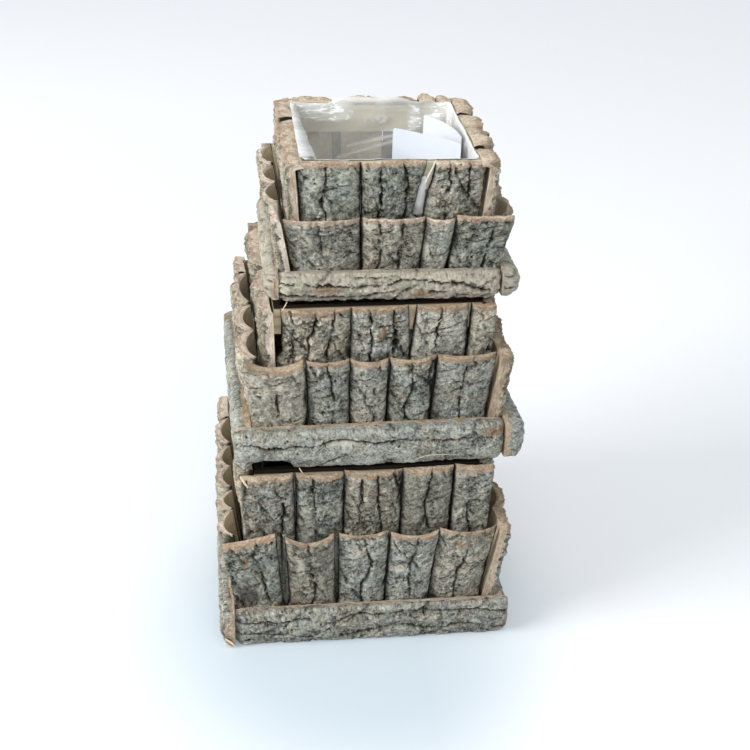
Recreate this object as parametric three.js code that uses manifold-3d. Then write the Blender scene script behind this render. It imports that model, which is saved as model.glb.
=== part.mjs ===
// A tower of three square bark planters in falling sizes, each standing on the rim of the one below.
//
// Every planter is made the same way. A base board and a frame of four rim laths carry an inner
// tier of upright bark slabs. A lower outer tier of slabs stands against it, and a band of bark
// laid flat goes round the foot of both. A film liner keeps the soil off the wood. The smallest
// planter holds two loose paper cards.
//
// Millimetres, +Z up. The origin is the middle of the large planter's underside, and -Y is the front.

import * as THREE from 'three';
import { mergeVertices } from 'three/addons/utils/BufferGeometryUtils.js';
import Module from 'manifold-3d';

const wasm = await Module();
wasm.setup();

// Fits
const jointGap = 0.3; // between glued pieces, and under a planter that stands on another
const slabLap = 0.6; // neighbouring slabs of a row grow into each other by this much
const cutOverrun = 2; // a cutter reaches this far past the faces it cuts

// Board, laths and film, alike in all three planters
const boardThickness = 8;
const lathHeight = 21;
const lathThickness = 5;
const lathDrop = 2.5; // from the rim down to the top of the laths
const filmThickness = 0.6;
const filmDrop = 3; // from the rim down to the edge of the film

// Bark
const slabBulge = 3; // a slab's outside is this much fuller at its middle than at its edges
const slabHollow = 2.4; // and its inside this much hollower
const bandBulge = 2.5;
const gapRise = 6; // an open gap between two slabs closes over this height, behind the outer tier
const arcSteps = 4; // straight pieces in a slab's curved outline

// Paper cards
const cardWidth = 60;
const cardHeight = 91;
const cardThickness = 0.6;

// The step in from one planter's foot to the next, both sides together
const mediumStepIn = 17.2;
const smallStepIn = 22;

// The walls in the order of their turns about the planter's axis. Corner 0 lies between the front
// and the right wall, corner 1 between the right and the back wall, and so on.
const wallNames = ['front', 'right', 'back', 'left'];

// One row of slabs, from left to right as seen from outside. Each slab has its width and the
// trim of its left and right edge above the join as shares of the row, and the drop of its top
// as a share of the tier's height.
const large = {
  name: 'large',
  footWidth: 187.2, // across the outside of the inner tier, at the foot
  height: 149.1,
  slabThickness: 10,
  rimFlare: 4, // the inner tier leans out by this much at the rim
  outerHeight: 101.1,
  outerThickness: 10,
  outerOpening: 6.4, // the outer tier leans this much further out at its top
  bandHeight: 31.1,
  bandThickness: 10.8,
  bandLift: 0,
  baseHeight: 0,
  shiftX: 0,
  shiftY: 0,
  turnDegrees: 0,
  innerOver: ['front', 'back', 'back', 'front'], // the wall that runs over at each corner
  outerOver: ['right', 'back', 'left', 'front'],
  bandOver: ['front', 'back', 'left', 'left'],
  innerShares: {
    front: [
      [0.203, 0, 0.002, 0], [0.194, 0.004, 0, 0.006], [0.232, 0.002, 0, 0],
      [0.194, 0, 0.002, 0.008], [0.177, 0, 0, 0.002],
    ],
    right: [
      [0.21, 0, 0, 0.008], [0.19, 0, 0.01, 0], [0.22, 0, 0, 0.012],
      [0.18, 0.008, 0, 0.004], [0.2, 0, 0, 0],
    ],
    back: [
      [0.24, 0, 0, 0], [0.19, 0, 0.01, 0.012], [0.2, 0, 0, 0.004],
      [0.17, 0, 0, 0.008], [0.2, 0.008, 0, 0],
    ],
    left: [
      [0.19, 0, 0, 0.006], [0.22, 0, 0, 0.012], [0.2, 0.01, 0, 0],
      [0.2, 0, 0, 0.008], [0.19, 0, 0.006, 0],
    ],
  },
  outerShares: {
    front: [
      [0.207, 0, 0.015, 0], [0.204, 0.015, 0.008, 0.012], [0.192, 0.007, 0, 0.006],
      [0.183, 0.004, 0, 0.018], [0.214, 0, 0, 0.006],
    ],
    right: [
      [0.17, 0, 0, 0.01], [0.2, 0, 0.01, 0.02], [0.22, 0, 0, 0],
      [0.2, 0.008, 0, 0.02], [0.21, 0, 0, 0.01],
    ],
    back: [
      [0.2, 0, 0, 0.01], [0.17, 0, 0.008, 0.02], [0.22, 0, 0, 0],
      [0.2, 0.01, 0, 0.02], [0.21, 0, 0, 0.01],
    ],
    left: [
      [0.17, 0, 0, 0], [0.2, 0, 0.006, 0.012], [0.17, 0.006, 0, 0.02],
      [0.15, 0, 0.006, 0.006], [0.14, 0.006, 0.01, 0.018], [0.17, 0.012, 0, 0],
    ],
  },
  arch: null,
};

const medium = {
  name: 'medium',
  footWidth: large.footWidth - mediumStepIn,
  height: 122.6,
  slabThickness: 9,
  rimFlare: 3.1,
  outerHeight: 86.5,
  outerThickness: 11,
  outerOpening: 3.2,
  bandHeight: 30.8,
  bandThickness: 13.2,
  bandLift: 1.6, // the band hangs this much clear of the rim below
  baseHeight: large.baseHeight + large.height + jointGap,
  shiftX: 6.6,
  shiftY: 20.3,
  turnDegrees: 1.2,
  innerOver: ['front', 'right', 'back', 'left'],
  outerOver: ['right', 'back', 'left', 'front'],
  bandOver: ['right', 'back', 'back', 'front'],
  innerShares: {
    front: [
      [0.307, 0.032, 0, 0], [0.267, 0, 0.012, 0.006], [0.276, 0.014, 0.006, 0],
      [0.15, 0.006, 0, 0.004],
    ],
    right: [[0.27, 0, 0, 0.01], [0.22, 0, 0, 0], [0.26, 0, 0.01, 0.006], [0.25, 0, 0, 0]],
    back: [[0.24, 0, 0, 0], [0.28, 0, 0.01, 0.012], [0.22, 0, 0, 0.004], [0.26, 0.008, 0, 0]],
    left: [[0.25, 0, 0, 0.006], [0.24, 0, 0, 0], [0.27, 0.01, 0, 0.01], [0.24, 0, 0, 0]],
  },
  outerShares: {
    front: [
      [0.232, 0, 0, 0], [0.18, 0.006, 0, 0.02], [0.159, 0, 0.006, 0.02],
      [0.185, 0, 0, 0.01], [0.244, 0.004, 0, 0],
    ],
    right: [[0.22, 0, 0, 0.01], [0.27, 0, 0.01, 0.02], [0.24, 0, 0, 0], [0.27, 0.008, 0, 0.01]],
    back: [
      [0.21, 0, 0, 0.01], [0.19, 0, 0.008, 0.02], [0.2, 0, 0, 0],
      [0.19, 0.01, 0, 0.02], [0.21, 0, 0, 0.01],
    ],
    left: [[0.19, 0, 0.01, 0.01], [0.31, 0.012, 0.006, 0], [0.24, 0.008, 0.006, 0.01], [0.26, 0.008, 0, 0]],
  },
  arch: { width: 36, height: 8, fromLeftEnd: 26 }, // a hollow in the front band's lower edge
};

const small = {
  name: 'small',
  footWidth: medium.footWidth - smallStepIn,
  height: 101.5,
  slabThickness: 9,
  rimFlare: 5.6,
  outerHeight: 64.6,
  outerThickness: 8.5,
  outerOpening: 3.9,
  bandHeight: 21.5,
  bandThickness: 8.4,
  bandLift: 1.6,
  baseHeight: medium.baseHeight + medium.height + jointGap,
  shiftX: 18.1,
  shiftY: 35.6,
  turnDegrees: -0.5,
  innerOver: ['right', 'right', 'left', 'left'],
  outerOver: ['front', 'right', 'back', 'left'],
  bandOver: ['right', 'back', 'back', 'left'],
  innerShares: {
    front: [[0.335, 0, 0.004, 0], [0.345, 0.004, 0.022, 0], [0.32, 0.044, 0, 0.006]],
    right: [[0.22, 0, 0, 0.01], [0.3, 0.01, 0, 0], [0.22, 0, 0.01, 0.012], [0.26, 0, 0, 0]],
    back: [
      [0.125, 0.03, 0, 0.01], [0.105, 0, 0, 0], [0.21, 0, 0.006, 0.02],
      [0.21, 0, 0.014, 0.01], [0.35, 0.014, 0, 0],
    ],
    left: [[0.325, 0, 0.006, 0], [0.405, 0.006, 0, 0.01], [0.27, 0.006, 0, 0]],
  },
  outerShares: {
    front: [[0.294, 0, 0.004, 0], [0.297, 0.004, 0, 0], [0.132, 0, 0, 0.01], [0.277, 0, 0, 0]],
    right: [[0.27, 0, 0, 0.01], [0.23, 0, 0.01, 0.02], [0.24, 0, 0, 0], [0.26, 0.01, 0, 0.02]],
    back: [[0.26, 0, 0, 0.01], [0.22, 0, 0.01, 0.02], [0.26, 0, 0, 0], [0.26, 0.01, 0, 0.02]],
    left: [[0.27, 0, 0.01, 0.01], [0.24, 0.01, 0.01, 0.02], [0.25, 0.01, 0.01, 0.01], [0.24, 0.01, 0, 0]],
  },
  arch: null,
};

const planters = [large, medium, small];

// The cards stand on the film in the small planter. The middle of a card's lower edge is placed
// from the film's right side and from the planter's middle, and its face is turned and bowed.
const cards = [
  { name: 'front_card', fromRight: 29.75, fromMiddle: -13.5, turnDegrees: -39, bow: 1.5 },
  { name: 'back_card', fromRight: 14.25, fromMiddle: 10, turnDegrees: -70, bow: 5 },
];

// Materials
function barkMaterial(color) {
  return new THREE.MeshStandardMaterial({ color, roughness: 0.95, metalness: 0, flatShading: true });
}
const slabBark = barkMaterial(0x8b8d84);
const bandBark = barkMaterial(0x857c6b);
const lathWood = new THREE.MeshStandardMaterial({ color: 0xc9b58c, roughness: 0.8, metalness: 0 });
const boardWood = new THREE.MeshStandardMaterial({ color: 0xb4946a, roughness: 0.85, metalness: 0 });
const linerFilm = new THREE.MeshStandardMaterial({
  color: 0xdfe6e6, roughness: 0.15, metalness: 0, transparent: true, opacity: 0.35,
});
const cardPaper = new THREE.MeshStandardMaterial({ color: 0xf2f2f0, roughness: 0.6, metalness: 0 });

// Solids
function toSolid(geometry) {
  const bare = geometry.clone();
  bare.deleteAttribute('normal');
  bare.deleteAttribute('uv');
  const merged = mergeVertices(bare);
  const vertProperties = new Float32Array(merged.attributes.position.array);
  const triVerts = new Uint32Array(merged.index.array);
  return new wasm.Manifold(new wasm.Mesh({ numProp: 3, vertProperties, triVerts }));
}

function toGeometry(solid) {
  const { vertProperties, triVerts } = solid.getMesh();
  const geometry = new THREE.BufferGeometry();
  geometry.setAttribute('position', new THREE.BufferAttribute(new Float32Array(vertProperties), 3));
  geometry.setIndex(new THREE.BufferAttribute(new Uint32Array(triVerts), 1));
  geometry.computeVertexNormals();
  return geometry;
}

function box(width, depth, height) {
  const geometry = new THREE.BoxGeometry(width, depth, height);
  geometry.translate(0, 0, height / 2);
  return geometry;
}

// The even steps from -1 to 1 that curved outlines are drawn with
function arcStops() {
  return Array.from({ length: arcSteps + 1 }, (_, i) => (2 * i) / arcSteps - 1);
}

// How the two tiers of one planter lie: the half width of a tier's inner face at its foot, its
// thickness and height, how far it leans out at a height, and the height that hides its joins.
function innerTier(planter) {
  const lean = (z) => {
    const rise = Math.max(0, z - planter.bandHeight);
    return (planter.rimFlare * rise) / (planter.height - planter.bandHeight);
  };
  return {
    face: planter.footWidth / 2 - planter.slabThickness,
    thickness: planter.slabThickness,
    height: planter.height,
    joinHeight: planter.outerHeight,
    lean,
  };
}

function outerTier(planter) {
  const inner = innerTier(planter);
  const lean = (z) => {
    const rise = Math.max(0, z - planter.bandHeight);
    const opening = (planter.outerOpening * rise) / (planter.outerHeight - planter.bandHeight);
    return inner.lean(z) + opening;
  };
  return {
    face: inner.face + inner.thickness + jointGap,
    thickness: planter.outerThickness,
    height: planter.outerHeight,
    joinHeight: planter.bandHeight,
    lean,
  };
}

function bandTier(planter) {
  const outer = outerTier(planter);
  return { face: outer.face + outer.thickness + jointGap, thickness: planter.bandThickness };
}

// Where one wall of a tier starts and ends along its length, from the corners it runs over. It
// reaches the outside of the tier there, and stops short of the neighbour's inner face elsewhere.
function wallSpan(tier, over, wallIndex) {
  const name = wallNames[wallIndex];
  const full = tier.face + tier.thickness;
  const short = tier.face - jointGap;
  const leftCorner = over[(wallIndex + 3) % 4];
  const rightCorner = over[wallIndex];
  return { start: leftCorner === name ? -full : -short, end: rightCorner === name ? full : short };
}

// One upright slab of bark between two places along the front wall. Its curved section is
// extruded upwards, trimmed above the join and leaned out with its tier.
function slab(tier, start, end, trimLeft, trimRight, top) {
  const middle = (start + end) / 2;
  const half = (end - start) / 2 + slabLap / 2;
  const stops = arcStops();
  const outside = stops.map((s) => [middle + s * half, -(tier.face + tier.thickness - slabBulge * s * s)]);
  const inside = stops.map((s) => [middle + s * half, -(tier.face + slabHollow * (1 - s * s))]).reverse();
  const outline = new THREE.Shape([...outside, ...inside].map(([x, y]) => new THREE.Vector2(x, y)));

  const joinHeights = trimLeft + trimRight > 0 ? [tier.joinHeight - gapRise, tier.joinHeight] : [];
  const heights = [0, tier.leanHeight, ...joinHeights, top];
  const levels = [...new Set(heights)].sort((a, b) => a - b);
  const steps = levels.length - 1;
  const geometry = new THREE.ExtrudeGeometry(outline, { depth: steps, steps, bevelEnabled: false });
  const place = geometry.attributes.position;
  for (let i = 0; i < place.count; i += 1) {
    const z = levels[Math.round(place.getZ(i))];
    const lean = tier.lean(z);
    const trimmed = z >= tier.joinHeight;
    const left = trimmed ? trimLeft : 0;
    const right = trimmed ? trimRight : 0;
    const share = (place.getX(i) - (middle - half)) / (2 * half);
    const x = middle - half + left + share * (2 * half - left - right);
    const fan = 1 + lean / (tier.face + tier.thickness);
    place.setXYZ(i, x * fan, place.getY(i) - lean, z);
  }
  return toSolid(geometry);
}

// A row of slabs glued edge to edge
function slabRow(tier, span, rowShares) {
  const length = span.end - span.start;
  const total = rowShares.reduce((sum, [widthShare]) => sum + widthShare, 0);
  let start = span.start + slabLap / 2;
  let row = null;
  for (const [widthShare, leftShare, rightShare, dropShare] of rowShares) {
    const end = start + ((length - slabLap) * widthShare) / total;
    const top = tier.height * (1 - dropShare);
    const piece = slab(tier, start, end, leftShare * length, rightShare * length, top);
    row = row === null ? piece : row.add(piece);
    start = end;
  }
  return toGeometry(row);
}

// A slab laid flat round the foot: its section, full at the middle of the outside, runs along the wall
function bandStrip(planter, tier, span, arch) {
  const low = planter.bandLift;
  const middle = (low + planter.bandHeight) / 2;
  const half = (planter.bandHeight - low) / 2;
  const full = tier.face + tier.thickness;
  const outside = arcStops().map((s) => [bandBulge * s * s - full, middle + s * half]);
  const section = [...outside, [-tier.face, planter.bandHeight], [-tier.face, low]];
  const outline = new THREE.Shape(section.map(([y, z]) => new THREE.Vector2(y, z)));
  const length = span.end - span.start;
  const geometry = new THREE.ExtrudeGeometry(outline, { depth: length, steps: 1, bevelEnabled: false });
  const alongWall = new THREE.Matrix4().makeBasis(
    new THREE.Vector3(0, 1, 0),
    new THREE.Vector3(0, 0, 1),
    new THREE.Vector3(1, 0, 0),
  );
  geometry.applyMatrix4(alongWall);
  geometry.translate(span.start, 0, 0);
  const strip = toSolid(geometry);
  return toGeometry(arch ? strip.subtract(archCutter(planter, tier, span, arch)) : strip);
}

// The half oval that is missing from a band's lower edge
function archCutter(planter, tier, span, arch) {
  const outline = new THREE.Shape();
  const halfWidth = arch.width / 2;
  outline.moveTo(-halfWidth, -cutOverrun);
  outline.lineTo(halfWidth, -cutOverrun);
  outline.lineTo(halfWidth, 0);
  outline.absellipse(0, 0, halfWidth, arch.height, 0, Math.PI, false);
  const depth = tier.thickness + 2 * cutOverrun;
  const options = { depth, bevelEnabled: false, curveSegments: arcSteps * 2 };
  const geometry = new THREE.ExtrudeGeometry(outline, options);
  const throughBand = new THREE.Matrix4().makeBasis(
    new THREE.Vector3(1, 0, 0),
    new THREE.Vector3(0, 0, 1),
    new THREE.Vector3(0, -1, 0),
  );
  geometry.applyMatrix4(throughBand);
  geometry.translate(span.start + arch.fromLeftEnd, -(tier.face - cutOverrun), planter.bandLift);
  return toSolid(geometry);
}

function addPiece(group, name, geometry, material, turn = 0) {
  const mesh = new THREE.Mesh(geometry, material);
  mesh.name = name;
  mesh.rotation.z = turn;
  group.add(mesh);
  return mesh;
}

// The four walls of both tiers and the four strips of the band
function addWalls(group, planter) {
  const inner = { ...innerTier(planter), leanHeight: planter.bandHeight };
  const outer = { ...outerTier(planter), leanHeight: planter.bandHeight };
  const band = bandTier(planter);
  wallNames.forEach((wall, index) => {
    const turn = (index * Math.PI) / 2;
    const innerRow = slabRow(inner, wallSpan(inner, planter.innerOver, index), planter.innerShares[wall]);
    addPiece(group, `${planter.name}_inner_${wall}_wall`, innerRow, slabBark, turn);
    const outerRow = slabRow(outer, wallSpan(outer, planter.outerOver, index), planter.outerShares[wall]);
    addPiece(group, `${planter.name}_outer_${wall}_wall`, outerRow, slabBark, turn);
    const arch = wall === 'front' ? planter.arch : null;
    const strip = bandStrip(planter, band, wallSpan(band, planter.bandOver, index), arch);
    addPiece(group, `${planter.name}_${wall}_band`, strip, bandBark, turn);
  });
}

// The half width that the rim laths reach, from the inner tier's face beside their lower edge
function lathReach(planter) {
  const inner = innerTier(planter);
  const lathFoot = planter.height - lathDrop - lathHeight;
  return inner.face + inner.lean(lathFoot) - jointGap;
}

function addCore(group, planter) {
  const inner = innerTier(planter);
  const boardWidth = 2 * (inner.face - jointGap);
  addPiece(group, `${planter.name}_base_board`, box(boardWidth, boardWidth, boardThickness), boardWood);

  const reach = lathReach(planter);
  const lathFoot = planter.height - lathDrop - lathHeight;
  wallNames.forEach((wall, index) => {
    const runsThrough = wall === 'front' || wall === 'back';
    const length = 2 * (runsThrough ? reach : reach - lathThickness - jointGap);
    const lath = box(length, lathThickness, lathHeight);
    lath.translate(0, -(reach - lathThickness / 2), lathFoot);
    addPiece(group, `${planter.name}_${wall}_lath`, lath, lathWood, (index * Math.PI) / 2);
  });
}

// The half width over the outside of the film, which lies inside the laths and the foot of the walls
function linerReach(planter) {
  return Math.min(lathReach(planter) - lathThickness, innerTier(planter).face) - jointGap;
}

// The film bag on the base board
function addLiner(group, planter) {
  const reach = linerReach(planter);
  const foot = boardThickness + jointGap;
  const height = planter.height - filmDrop - foot;
  const outside = box(2 * reach, 2 * reach, height);
  outside.translate(0, 0, foot);
  const innerWidth = 2 * (reach - filmThickness);
  const inside = box(innerWidth, innerWidth, height + cutOverrun);
  inside.translate(0, 0, foot + filmThickness);
  const bag = toSolid(outside).subtract(toSolid(inside));
  addPiece(group, `${planter.name}_film_liner`, toGeometry(bag), linerFilm);
}

// A bowed sheet of stiff paper standing on the film
function addCards(group, planter) {
  const stand = boardThickness + filmThickness + 2 * jointGap;
  const side = linerReach(planter) - filmThickness;
  for (const card of cards) {
    const stops = arcStops();
    const face = (offset) => stops.map((s) => [(s * cardWidth) / 2, card.bow * (1 - s * s) + offset]);
    const sheet = [...face(0), ...face(cardThickness).reverse()];
    const outline = new THREE.Shape(sheet.map(([x, y]) => new THREE.Vector2(x, y)));
    const options = { depth: cardHeight, steps: 1, bevelEnabled: false };
    const geometry = new THREE.ExtrudeGeometry(outline, options);
    const turn = THREE.MathUtils.degToRad(card.turnDegrees);
    const mesh = addPiece(group, card.name, toGeometry(toSolid(geometry)), cardPaper, turn);
    mesh.position.set(side - card.fromRight, card.fromMiddle, stand);
  }
}

const group = new THREE.Group();
for (const planter of planters) {
  const stand = new THREE.Group();
  stand.position.set(planter.shiftX, planter.shiftY, planter.baseHeight);
  stand.rotation.z = THREE.MathUtils.degToRad(planter.turnDegrees);
  addCore(stand, planter);
  addLiner(stand, planter);
  addWalls(stand, planter);
  if (planter === small) {
    addCards(stand, planter);
  }
  group.add(stand);
}

export default group;
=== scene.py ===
import itertools
import math

import bpy
import numpy as np
from mathutils import Matrix, Vector, noise


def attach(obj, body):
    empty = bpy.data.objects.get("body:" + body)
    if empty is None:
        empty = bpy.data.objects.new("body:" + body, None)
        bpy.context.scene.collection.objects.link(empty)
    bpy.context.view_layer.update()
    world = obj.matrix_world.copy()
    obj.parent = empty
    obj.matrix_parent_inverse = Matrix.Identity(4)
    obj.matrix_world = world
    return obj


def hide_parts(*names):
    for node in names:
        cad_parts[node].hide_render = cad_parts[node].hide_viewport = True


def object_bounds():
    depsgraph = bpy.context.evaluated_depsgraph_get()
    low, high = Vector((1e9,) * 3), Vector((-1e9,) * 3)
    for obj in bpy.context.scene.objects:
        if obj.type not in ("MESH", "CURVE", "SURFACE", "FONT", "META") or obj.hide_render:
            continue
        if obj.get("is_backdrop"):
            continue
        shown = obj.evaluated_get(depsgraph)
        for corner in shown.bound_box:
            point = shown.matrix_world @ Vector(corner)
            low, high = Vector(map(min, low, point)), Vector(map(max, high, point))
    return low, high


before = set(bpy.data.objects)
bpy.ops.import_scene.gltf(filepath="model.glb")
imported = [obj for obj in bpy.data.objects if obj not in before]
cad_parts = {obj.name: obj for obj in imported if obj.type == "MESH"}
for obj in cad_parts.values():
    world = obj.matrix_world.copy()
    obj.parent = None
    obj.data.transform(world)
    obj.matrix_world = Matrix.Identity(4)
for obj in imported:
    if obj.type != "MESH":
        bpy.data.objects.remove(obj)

cad_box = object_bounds()

# The camera stands in front of the tower and a little to its left, and looks down into the
# uppermost planter. The picture is square.
camera_place = Vector((-0.1128, -0.9384, 0.6964))
camera_heading = math.radians(7.75)
camera_dip = math.radians(28.67)
camera_roll = math.radians(2.0)
camera = bpy.data.objects.new("camera", bpy.data.cameras.new("camera"))
camera.data.sensor_width = 36
camera.data.lens = 63.9
forward = Vector((
    math.sin(camera_heading) * math.cos(camera_dip),
    math.cos(camera_heading) * math.cos(camera_dip),
    -math.sin(camera_dip),
))
level_right = Vector((math.cos(camera_heading), -math.sin(camera_heading), 0))
level_up = level_right.cross(forward)
camera_right = level_right * math.cos(camera_roll) + level_up * math.sin(camera_roll)
camera_up = camera_right.cross(forward)
camera.matrix_world = Matrix.Translation(camera_place) @ Matrix(
    (camera_right, camera_up, -forward)
).transposed().to_4x4()
bpy.context.scene.collection.objects.link(camera)
bpy.context.scene.camera = camera
bpy.context.scene.view_settings.view_transform = "Standard"


# The floor is one pale sheet that runs on behind the tower and whitens with distance. Its tint is darkened
# around the tower's foot as a painted contact shadow, and lightened just right of the tower, where the
# tower's shadow falls, as painted light. Soft light falls from the left, where the walls are brightest, and
# from above.
class Value:
    """What a node gives. A sum with it adds a node to its board."""

    def __init__(self, board, socket):
        self.board = board
        self.socket = socket

    def __add__(self, other):
        return self.board.math("ADD", self, other)

    def __sub__(self, other):
        return self.board.math("SUBTRACT", self, other)

    def __rsub__(self, other):
        return self.board.math("SUBTRACT", other, self)

    def __mul__(self, other):
        return self.board.math("MULTIPLY", self, other)

    def __truediv__(self, other):
        return self.board.math("DIVIDE", self, other)

    def __rtruediv__(self, other):
        return self.board.math("DIVIDE", other, self)


class Board:
    """Adds nodes to one tree. An input is given a number or a colour, or what feeds it."""

    def __init__(self, tree):
        self.tree = tree

    def feed(self, node, inputs):
        for key, value in inputs.items():
            if isinstance(value, Value):
                self.tree.links.new(value.socket, node.inputs[key])
            else:
                node.inputs[key].default_value = value

    def add(self, kind, inputs=None, **settings):
        node = self.tree.nodes.new(kind)
        for name, value in settings.items():
            setattr(node, name, value)
        self.feed(node, inputs or {})
        return node

    def all(self, kind, inputs=None, **settings):
        """Everything that a new node gives, by name."""
        return {socket.name: Value(self, socket) for socket in self.add(kind, inputs, **settings).outputs}

    def get(self, kind, inputs=None, output=0, **settings):
        """One of the things that a new node gives."""
        return Value(self, self.add(kind, inputs, **settings).outputs[output])

    def place(self):
        return self.get("ShaderNodeTexCoord", output="Object")

    def kept(self, name, part="Fac"):
        """What a mesh keeps at its corners under a name."""
        return self.get("ShaderNodeAttribute", output=part, attribute_name=name)

    def math(self, operation, *values):
        return self.get("ShaderNodeMath", dict(enumerate(values)), operation=operation)

    def most(self, first, second):
        return self.math("MAXIMUM", first, second)

    def least(self, first, second):
        return self.math("MINIMUM", first, second)

    def total(self, *terms):
        """The sum of values, each times its weight."""
        result = 0.0
        for value, weight in terms:
            result = self.math("MULTIPLY_ADD", value, weight, result)
        return result

    def vector(self, x, y, z):
        return self.get("ShaderNodeCombineXYZ", {0: x, 1: y, 2: z})

    def axes(self, vector):
        return self.all("ShaderNodeSeparateXYZ", {0: vector})

    def vectors(self, operation, *values):
        return self.all("ShaderNodeVectorMath", dict(enumerate(values)), operation=operation)

    def mapped(self, place, turn, scale):
        """A place, turned about z and scaled."""
        return self.get("ShaderNodeMapping", {0: place, 2: (0, 0, turn), 3: scale})

    def span(self, value, low, high, to_low=0.0, to_high=1.0, smooth=False):
        """The value's place between low and high, clamped, as a number from to_low to to_high."""
        inputs = {0: value, 1: low, 2: high, 3: to_low, 4: to_high}
        curve = "SMOOTHSTEP" if smooth else "LINEAR"
        return self.get("ShaderNodeMapRange", inputs, interpolation_type=curve)

    def fading(self, value, low, high):
        """1 up to low, falling to 0 at high."""
        return self.span(value, low, high, 1.0, 0.0)

    def noise(self, place, scale, detail=2.0, rough=0.5, output=0):
        inputs = {"Vector": place, "Scale": scale, "Detail": detail, "Roughness": rough}
        return self.get("ShaderNodeTexNoise", inputs, output)

    def cells(self, place, scale, feature="F1"):
        inputs = {"Vector": place, "Scale": scale}
        return self.get("ShaderNodeTexVoronoi", inputs, feature=feature)

    def mix(self, share, first, second, blend="MIX"):
        inputs = {0: share, 6: first, 7: second}
        return self.get("ShaderNodeMix", inputs, 2, data_type="RGBA", blend_type=blend)

    def tinted(self, colour, tint):
        return self.mix(1.0, colour, tint, "MULTIPLY")

    def ramp(self, value, *stops):
        node = self.add("ShaderNodeValToRGB", {0: value})
        while len(node.color_ramp.elements) < len(stops):
            node.color_ramp.elements.new(1.0)
        for element, (place, colour) in zip(node.color_ramp.elements, stops):
            element.position = place
            element.color = colour
        return Value(self, node.outputs[0])

    def surface(self, shader, colour, roughness, bumps, specular=0.5):
        """Feeds a shader. The bumps are a height, a strength and a distance."""
        normal = self.get("ShaderNodeBump", dict(zip(("Height", "Strength", "Distance"), bumps)))
        self.feed(shader, {
            "Base Color": colour, "Roughness": roughness, "Specular IOR Level": specular, "Normal": normal,
        })


def paint(red, green, blue):
    """A colour as it is read off a screen, from 0 to 255, for a shader."""
    shares = (red / 255, green / 255, blue / 255)
    light = [s / 12.92 if s <= 0.04045 else ((s + 0.055) / 1.055) ** 2.4 for s in shares]
    return (*light, 1.0)


def new_material(name):
    """A material, its board and its shader."""
    material = bpy.data.materials.new(name)
    material.use_nodes = True
    return material, Board(material.node_tree), material.node_tree.nodes["Principled BSDF"]


def new_piece(name, corners, faces, material, floats=None, vectors=None, smooth=True, sharp_from=None):
    """A mesh of a material, with what it keeps at its corners."""
    mesh = bpy.data.meshes.new(name)
    mesh.from_pydata(corners, [], faces)
    for key, values in (floats or {}).items():
        mesh.attributes.new(key, "FLOAT", "POINT").data.foreach_set("value", values)
    for key, values in (vectors or {}).items():
        mesh.attributes.new(key, "FLOAT_VECTOR", "POINT").data.foreach_set("vector", np.ravel(values))
    mesh.materials.append(material)
    if smooth:
        mesh.shade_smooth()
    if sharp_from:
        mesh.set_sharp_from_angle(angle=math.radians(sharp_from))
    piece = bpy.data.objects.new(name, mesh)
    bpy.context.scene.collection.objects.link(piece)
    return piece


def lay_floor():
    reach = 6.0
    corners = [(-reach, -reach, 0), (reach, -reach, 0), (reach, reach, 0), (-reach, reach, 0)]
    material, board, shader = new_material("floor_sheet")
    floor = new_piece("floor", corners, [(0, 1, 2, 3)], material, smooth=False)
    place = board.place()
    axes = board.axes(place)
    tower_front = (0.0, -0.09, 0.0)
    from_tower = board.vectors("DISTANCE", place, tower_front)["Value"]
    # Darker nearer the camera. Darker around the tower's foot as a painted contact shadow. Lighter just
    # right of the tower as painted light against its cast shadow, and darker again farther right.
    distance_and_painted_shade = board.total(
        (board.span(axes["Y"], -0.3, 1.3, 0.50, 0.0), 1.0),
        (board.span(from_tower, 0.10, 0.21, 1.0, 0.0, smooth=True), 0.46),
        (board.span(axes["X"], 0.04, 0.14), -0.36),
        (board.span(axes["X"], 0.18, 0.60), 0.22),
    )
    tint = board.ramp(distance_and_painted_shade, (0.0, paint(252, 253, 255)), (1.0, paint(200, 213, 222)))
    board.feed(shader, {"Base Color": tint, "Roughness": 0.9, "Specular IOR Level": 0.1})
    seen = board.all("ShaderNodeLightPath")
    mirrored = board.most(seen["Is Glossy Ray"], seen["Is Transmission Ray"])
    looked_at = board.most(seen["Is Camera Ray"], mirrored)
    plain = board.get("ShaderNodeEmission", {"Color": tint, "Strength": 1.0})
    lit = Value(board, shader.outputs[0])
    both = board.get("ShaderNodeMixShader", {0: looked_at * 0.25, 1: lit, 2: plain})
    board.feed(material.node_tree.nodes["Material Output"], {"Surface": both})
    floor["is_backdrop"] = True


def hang_lamp(name, place, size, power, colour):
    data = bpy.data.lights.new(name, "AREA")
    data.shape = "SQUARE"
    data.size = size
    data.energy = power
    data.color = colour
    lamp = bpy.data.objects.new(name, data)
    lamp.location = place
    tower_middle = Vector((0.0, 0.0, 0.19))
    lamp.rotation_euler = (tower_middle - Vector(place)).to_track_quat("-Z", "Y").to_euler()
    bpy.context.scene.collection.objects.link(lamp)


lay_floor()
hang_lamp("left_lamp", (-2.0, -0.5, 1.3), 1.2, 58, (1.0, 0.985, 0.97))
hang_lamp("top_lamp", (0.1, -1.4, 2.1), 1.6, 15, (0.97, 0.985, 1.0))
sky = bpy.data.worlds.new("sky")
sky.use_nodes = True
sky.node_tree.nodes["Background"].inputs["Color"].default_value = (0.912, 0.965, 1.0, 1.0)
sky.node_tree.nodes["Background"].inputs["Strength"].default_value = 0.70
bpy.context.scene.world = sky
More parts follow.
